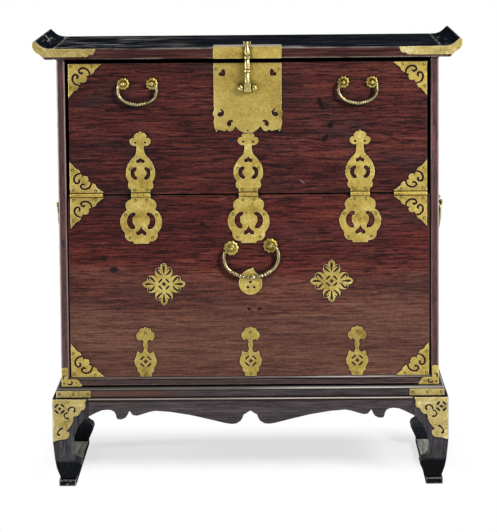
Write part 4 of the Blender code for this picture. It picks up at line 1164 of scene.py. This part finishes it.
# Bead along the apron's top edge, between the leg mounts: (forward, down) across it, in mm
apronBead = {
    "profile": [(-0.2, 0.0), (0.5, 0.0), (1.3, 0.8), (1.8, 2.0), (1.6, 3.0), (-0.2, 3.6)], "gap": 3.0,
}
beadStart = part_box("leg_mount_left")[1].x + apronBead["gap"] * mm
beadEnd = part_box("leg_mount_right")[0].x - apronBead["gap"] * mm
rings = [
    [(x, apronBox[0].y - a * mm, apronTop - b * mm) for a, b in apronBead["profile"]]
    for x in (beadStart, beadEnd)
]
shape = bmesh.new()
bmesh.ops.recalc_face_normals(shape, faces=skinRings(shape, rings))
addPiece("apronBead", meshFrom(shape, 50), smokedBead, "case", "stand_wood")

# Caps on the top's front corners: the everted end's own profile, run inwards to a scalloped end;
# (in from the joint, up from the underside) in mm
topCap = {"foot": 5.2, "thick": 1.2, "jointReach": 1.0 * mm, "inner": [
    (54.0, 5.2), (56.6, 6.8), (59.0, 5.6), (64.0, 5.4), (67.6, 6.6), (70.6, 9.6), (74.6, 9.0), (78.2, 10.2),
    (80.0, 13.2), (83.2, 21.0),
]}
topLow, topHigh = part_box("top_board")
for side, sign in (("left", 1), ("right", -1)):
    loops, front = frontLoops(f"top_end_{side}")
    loop = max(loops, key=len)
    joint = -sign * topHigh.x
    inside = [abs(x - joint) < topCap["jointReach"] for x, _ in loop]
    first = next(i for i in range(len(loop)) if inside[i - 1] and not inside[i])
    loop = [p for p in loop[first:] + loop[:first] if abs(p[0] - joint) >= topCap["jointReach"]]
    if loop[0][1] < loop[-1][1]:
        loop.reverse()
    lowest = topLow.z + topCap["foot"] * mm
    loop = [Vector((x, max(z, lowest))) for x, z in loop]
    loop += [Vector((joint + sign * a * mm, topLow.z + b * mm)) for a, b in topCap["inner"]]
    addTrim(f"topCap{side.title()}", [smoothLoop(loop)], front, topCap["thick"], sheet=capBrass)
print("trim cut")

# Nail heads: low brass domes on the plates, one mesh for each body
nailHead = {"Head Radius": 2.7 * mm, "Dome": 0.42}
nailFacets = {"Segments": 10, "Rings": 6}
heads = bpy.data.node_groups.new("nailHeads", "GeometryNodeTree")
heads.interface.new_socket("Places", in_out="INPUT", socket_type="NodeSocketGeometry")
for key in nailHead:
    heads.interface.new_socket(key, in_out="INPUT", socket_type="NodeSocketFloat")
heads.interface.new_socket("Heads", in_out="OUTPUT", socket_type="NodeSocketGeometry")
given = addNode(heads, "NodeGroupInput")
dome = addNode(heads, "GeometryNodeMeshUVSphere", {**nailFacets, "Radius": given.outputs["Head Radius"]})
flatter = addNode(heads, "ShaderNodeCombineXYZ", {"X": 1.0, "Y": given.outputs["Dome"], "Z": 1.0})
pressed = addNode(heads, "GeometryNodeTransform", {"Geometry": dome, "Scale": flatter})
places = addNode(heads, "GeometryNodeMeshToPoints", {"Mesh": given.outputs["Places"]})
driven = addNode(heads, "GeometryNodeInstanceOnPoints", {"Points": places, "Instance": pressed})
whole = addNode(heads, "GeometryNodeRealizeInstances", {"Geometry": driven})
finished = addNode(heads, "GeometryNodeSetMaterial", {"Geometry": whole, "Material": nailBrass})
addNode(heads, "NodeGroupOutput", {"Heads": finished})
for body, spots in nails.items():
    mesh = bpy.data.meshes.new("nailPlaces")
    mesh.from_pydata(spots, [], [])
    sown = linked("nailPlaces", mesh)
    modifier = sown.modifiers.new("nailHeads", "NODES")
    modifier.node_group = heads
    for item in heads.interface.items_tree:
        if item.name in nailHead:
            modifier[item.identifier] = nailHead[item.name]
    headMesh = bpy.data.meshes.new_from_object(sown.evaluated_get(bpy.context.evaluated_depsgraph_get()))
    bpy.data.objects.remove(sown)
    bpy.data.meshes.remove(mesh)
    headMesh.shade_smooth()
    addPiece(f"nailHeads.{body}", headMesh, nailBrass, body, "brass")
print("nails driven:", sum(map(len, nails.values())))

# Stage: a white floor that runs out of sight; away from the chest's shadow the eye sees it glow, but it
# throws little of that back on the wood. The shadow lies a little behind the chest; side and depth are where
# it fades.
stageLook = {
    "floor": "f4f4f3", "bounce": "808080", "roughness": 0.9, "ownGlow": 0.655, "middle": 0.145,
    "side": (0.31, 0.47), "depth": (0.045, 0.26), "size": 60.0, "world": 0.16,
}
floorMesh = bpy.data.meshes.new("studioFloor")
reach = stageLook["size"]
floorCorners = [(-reach, -reach, 0), (reach, -reach, 0), (reach, reach, 0), (-reach, reach, 0)]
floorMesh.from_pydata(floorCorners, [], [(0, 1, 2, 3)])
floor = linked("studioFloor", floorMesh)
floorPaint, tree, shader = newMaterial("studioFloorPaint")
place = axesOf(tree)
behind = addNode(tree, "ShaderNodeMath", {0: place["Y"], 1: stageLook["middle"]}, operation="SUBTRACT")
edges = []
for way, fade in ((place["X"], stageLook["side"]), (behind, stageLook["depth"])):
    away = addNode(tree, "ShaderNodeMath", {0: way}, operation="ABSOLUTE")
    inputs = {"Value": away, **span(fade)}
    edges.append(addNode(tree, "ShaderNodeMapRange", inputs, interpolation_type="SMOOTHSTEP"))
most = addNode(tree, "ShaderNodeMath", dict(enumerate(edges)), operation="MAXIMUM")
far = addNode(tree, "ShaderNodeMapRange", {"Value": most, "To Min": stageLook["ownGlow"]})
rays = addNode(tree, "ShaderNodeLightPath")
unlit = addNode(tree, "ShaderNodeMath", {0: 1.0, 1: rays.outputs["Is Diffuse Ray"]}, operation="SUBTRACT")
seen = addNode(tree, "ShaderNodeMath", {0: far, 1: unlit}, operation="MULTIPLY")
paint = coated(tree, stageLook["floor"], [(rays.outputs["Is Diffuse Ray"], stageLook["bounce"])])
plug(tree, shader, {"Base Color": paint, "Roughness": stageLook["roughness"], "Specular IOR Level": 0.0})
glow = addNode(tree, "ShaderNodeEmission", {"Strength": 1.0})
sweep = addNode(tree, "ShaderNodeMixShader", {0: seen, 1: shader, 2: glow})
plug(tree, tree.nodes["Material Output"], {"Surface": sweep})
floorMesh.materials.append(floorPaint)

world = bpy.data.worlds.new("studioWorld")
scene.world = world
world.use_nodes = True
sky = world.node_tree.nodes["Background"]
plug(world.node_tree, sky, {"Color": "ffffff", "Strength": stageLook["world"]})

# Lamps: (place, aims at, width, height, watts); the strips at the sides draw lines along arrises and bars
lamps = {
    "softboxKey": ((2.7, -3.4, 2.5), (0, 0, 0.5), 1.0, 1.0, 215),
    "softboxAbove": ((0.0, -0.7, 3.6), (0, -0.2, 0.5), 2.6, 0.6, 30),
    "stripLeft": ((-2.6, -0.15, 0.6), (0, -0.15, 0.6), 0.3, 2.0, 60),
    "stripRight": ((2.6, -0.15, 0.6), (0, -0.15, 0.6), 0.3, 2.0, 26),
}
for name, (spot, aim, width, height, watts) in lamps.items():
    light = bpy.data.lights.new(name, "AREA")
    light.shape = "RECTANGLE"
    light.size, light.size_y = width, height
    light.energy = watts
    lamp = linked(name, light)
    lamp.location = spot
    lamp.rotation_euler = (Vector(aim) - Vector(spot)).to_track_quat("-Z", "Y").to_euler()
    lamp.visible_camera = False

# Camera: fitted to the photograph's corners of the case, top and feet
view = {
    "place": (0.049, -5.501, 1.2353), "yaw": -0.53, "pitch": 7.11, "roll": -0.50, "focalPixels": 2691,
    "frameHeight": 532, "shiftUp": -0.12, "farthest": 200,
}
camera = bpy.data.cameras.new("camera")
camera.lens = view["focalPixels"] / view["frameHeight"] * camera.sensor_width
camera.shift_y = view["shiftUp"]
camera.clip_end = view["farthest"]
eye = linked("camera", camera)
level = math.pi / 2 - math.radians(view["pitch"])
aim = Matrix.Rotation(-math.radians(view["yaw"]), 4, "Z") @ Matrix.Rotation(level, 4, "X")
aim @= Matrix.Rotation(math.radians(view["roll"]), 4, "Z")
eye.matrix_world = Matrix.Translation(view["place"]) @ aim
scene.camera = eye
scene.view_settings.view_transform = "Standard"
print("stage, lamps and camera set")
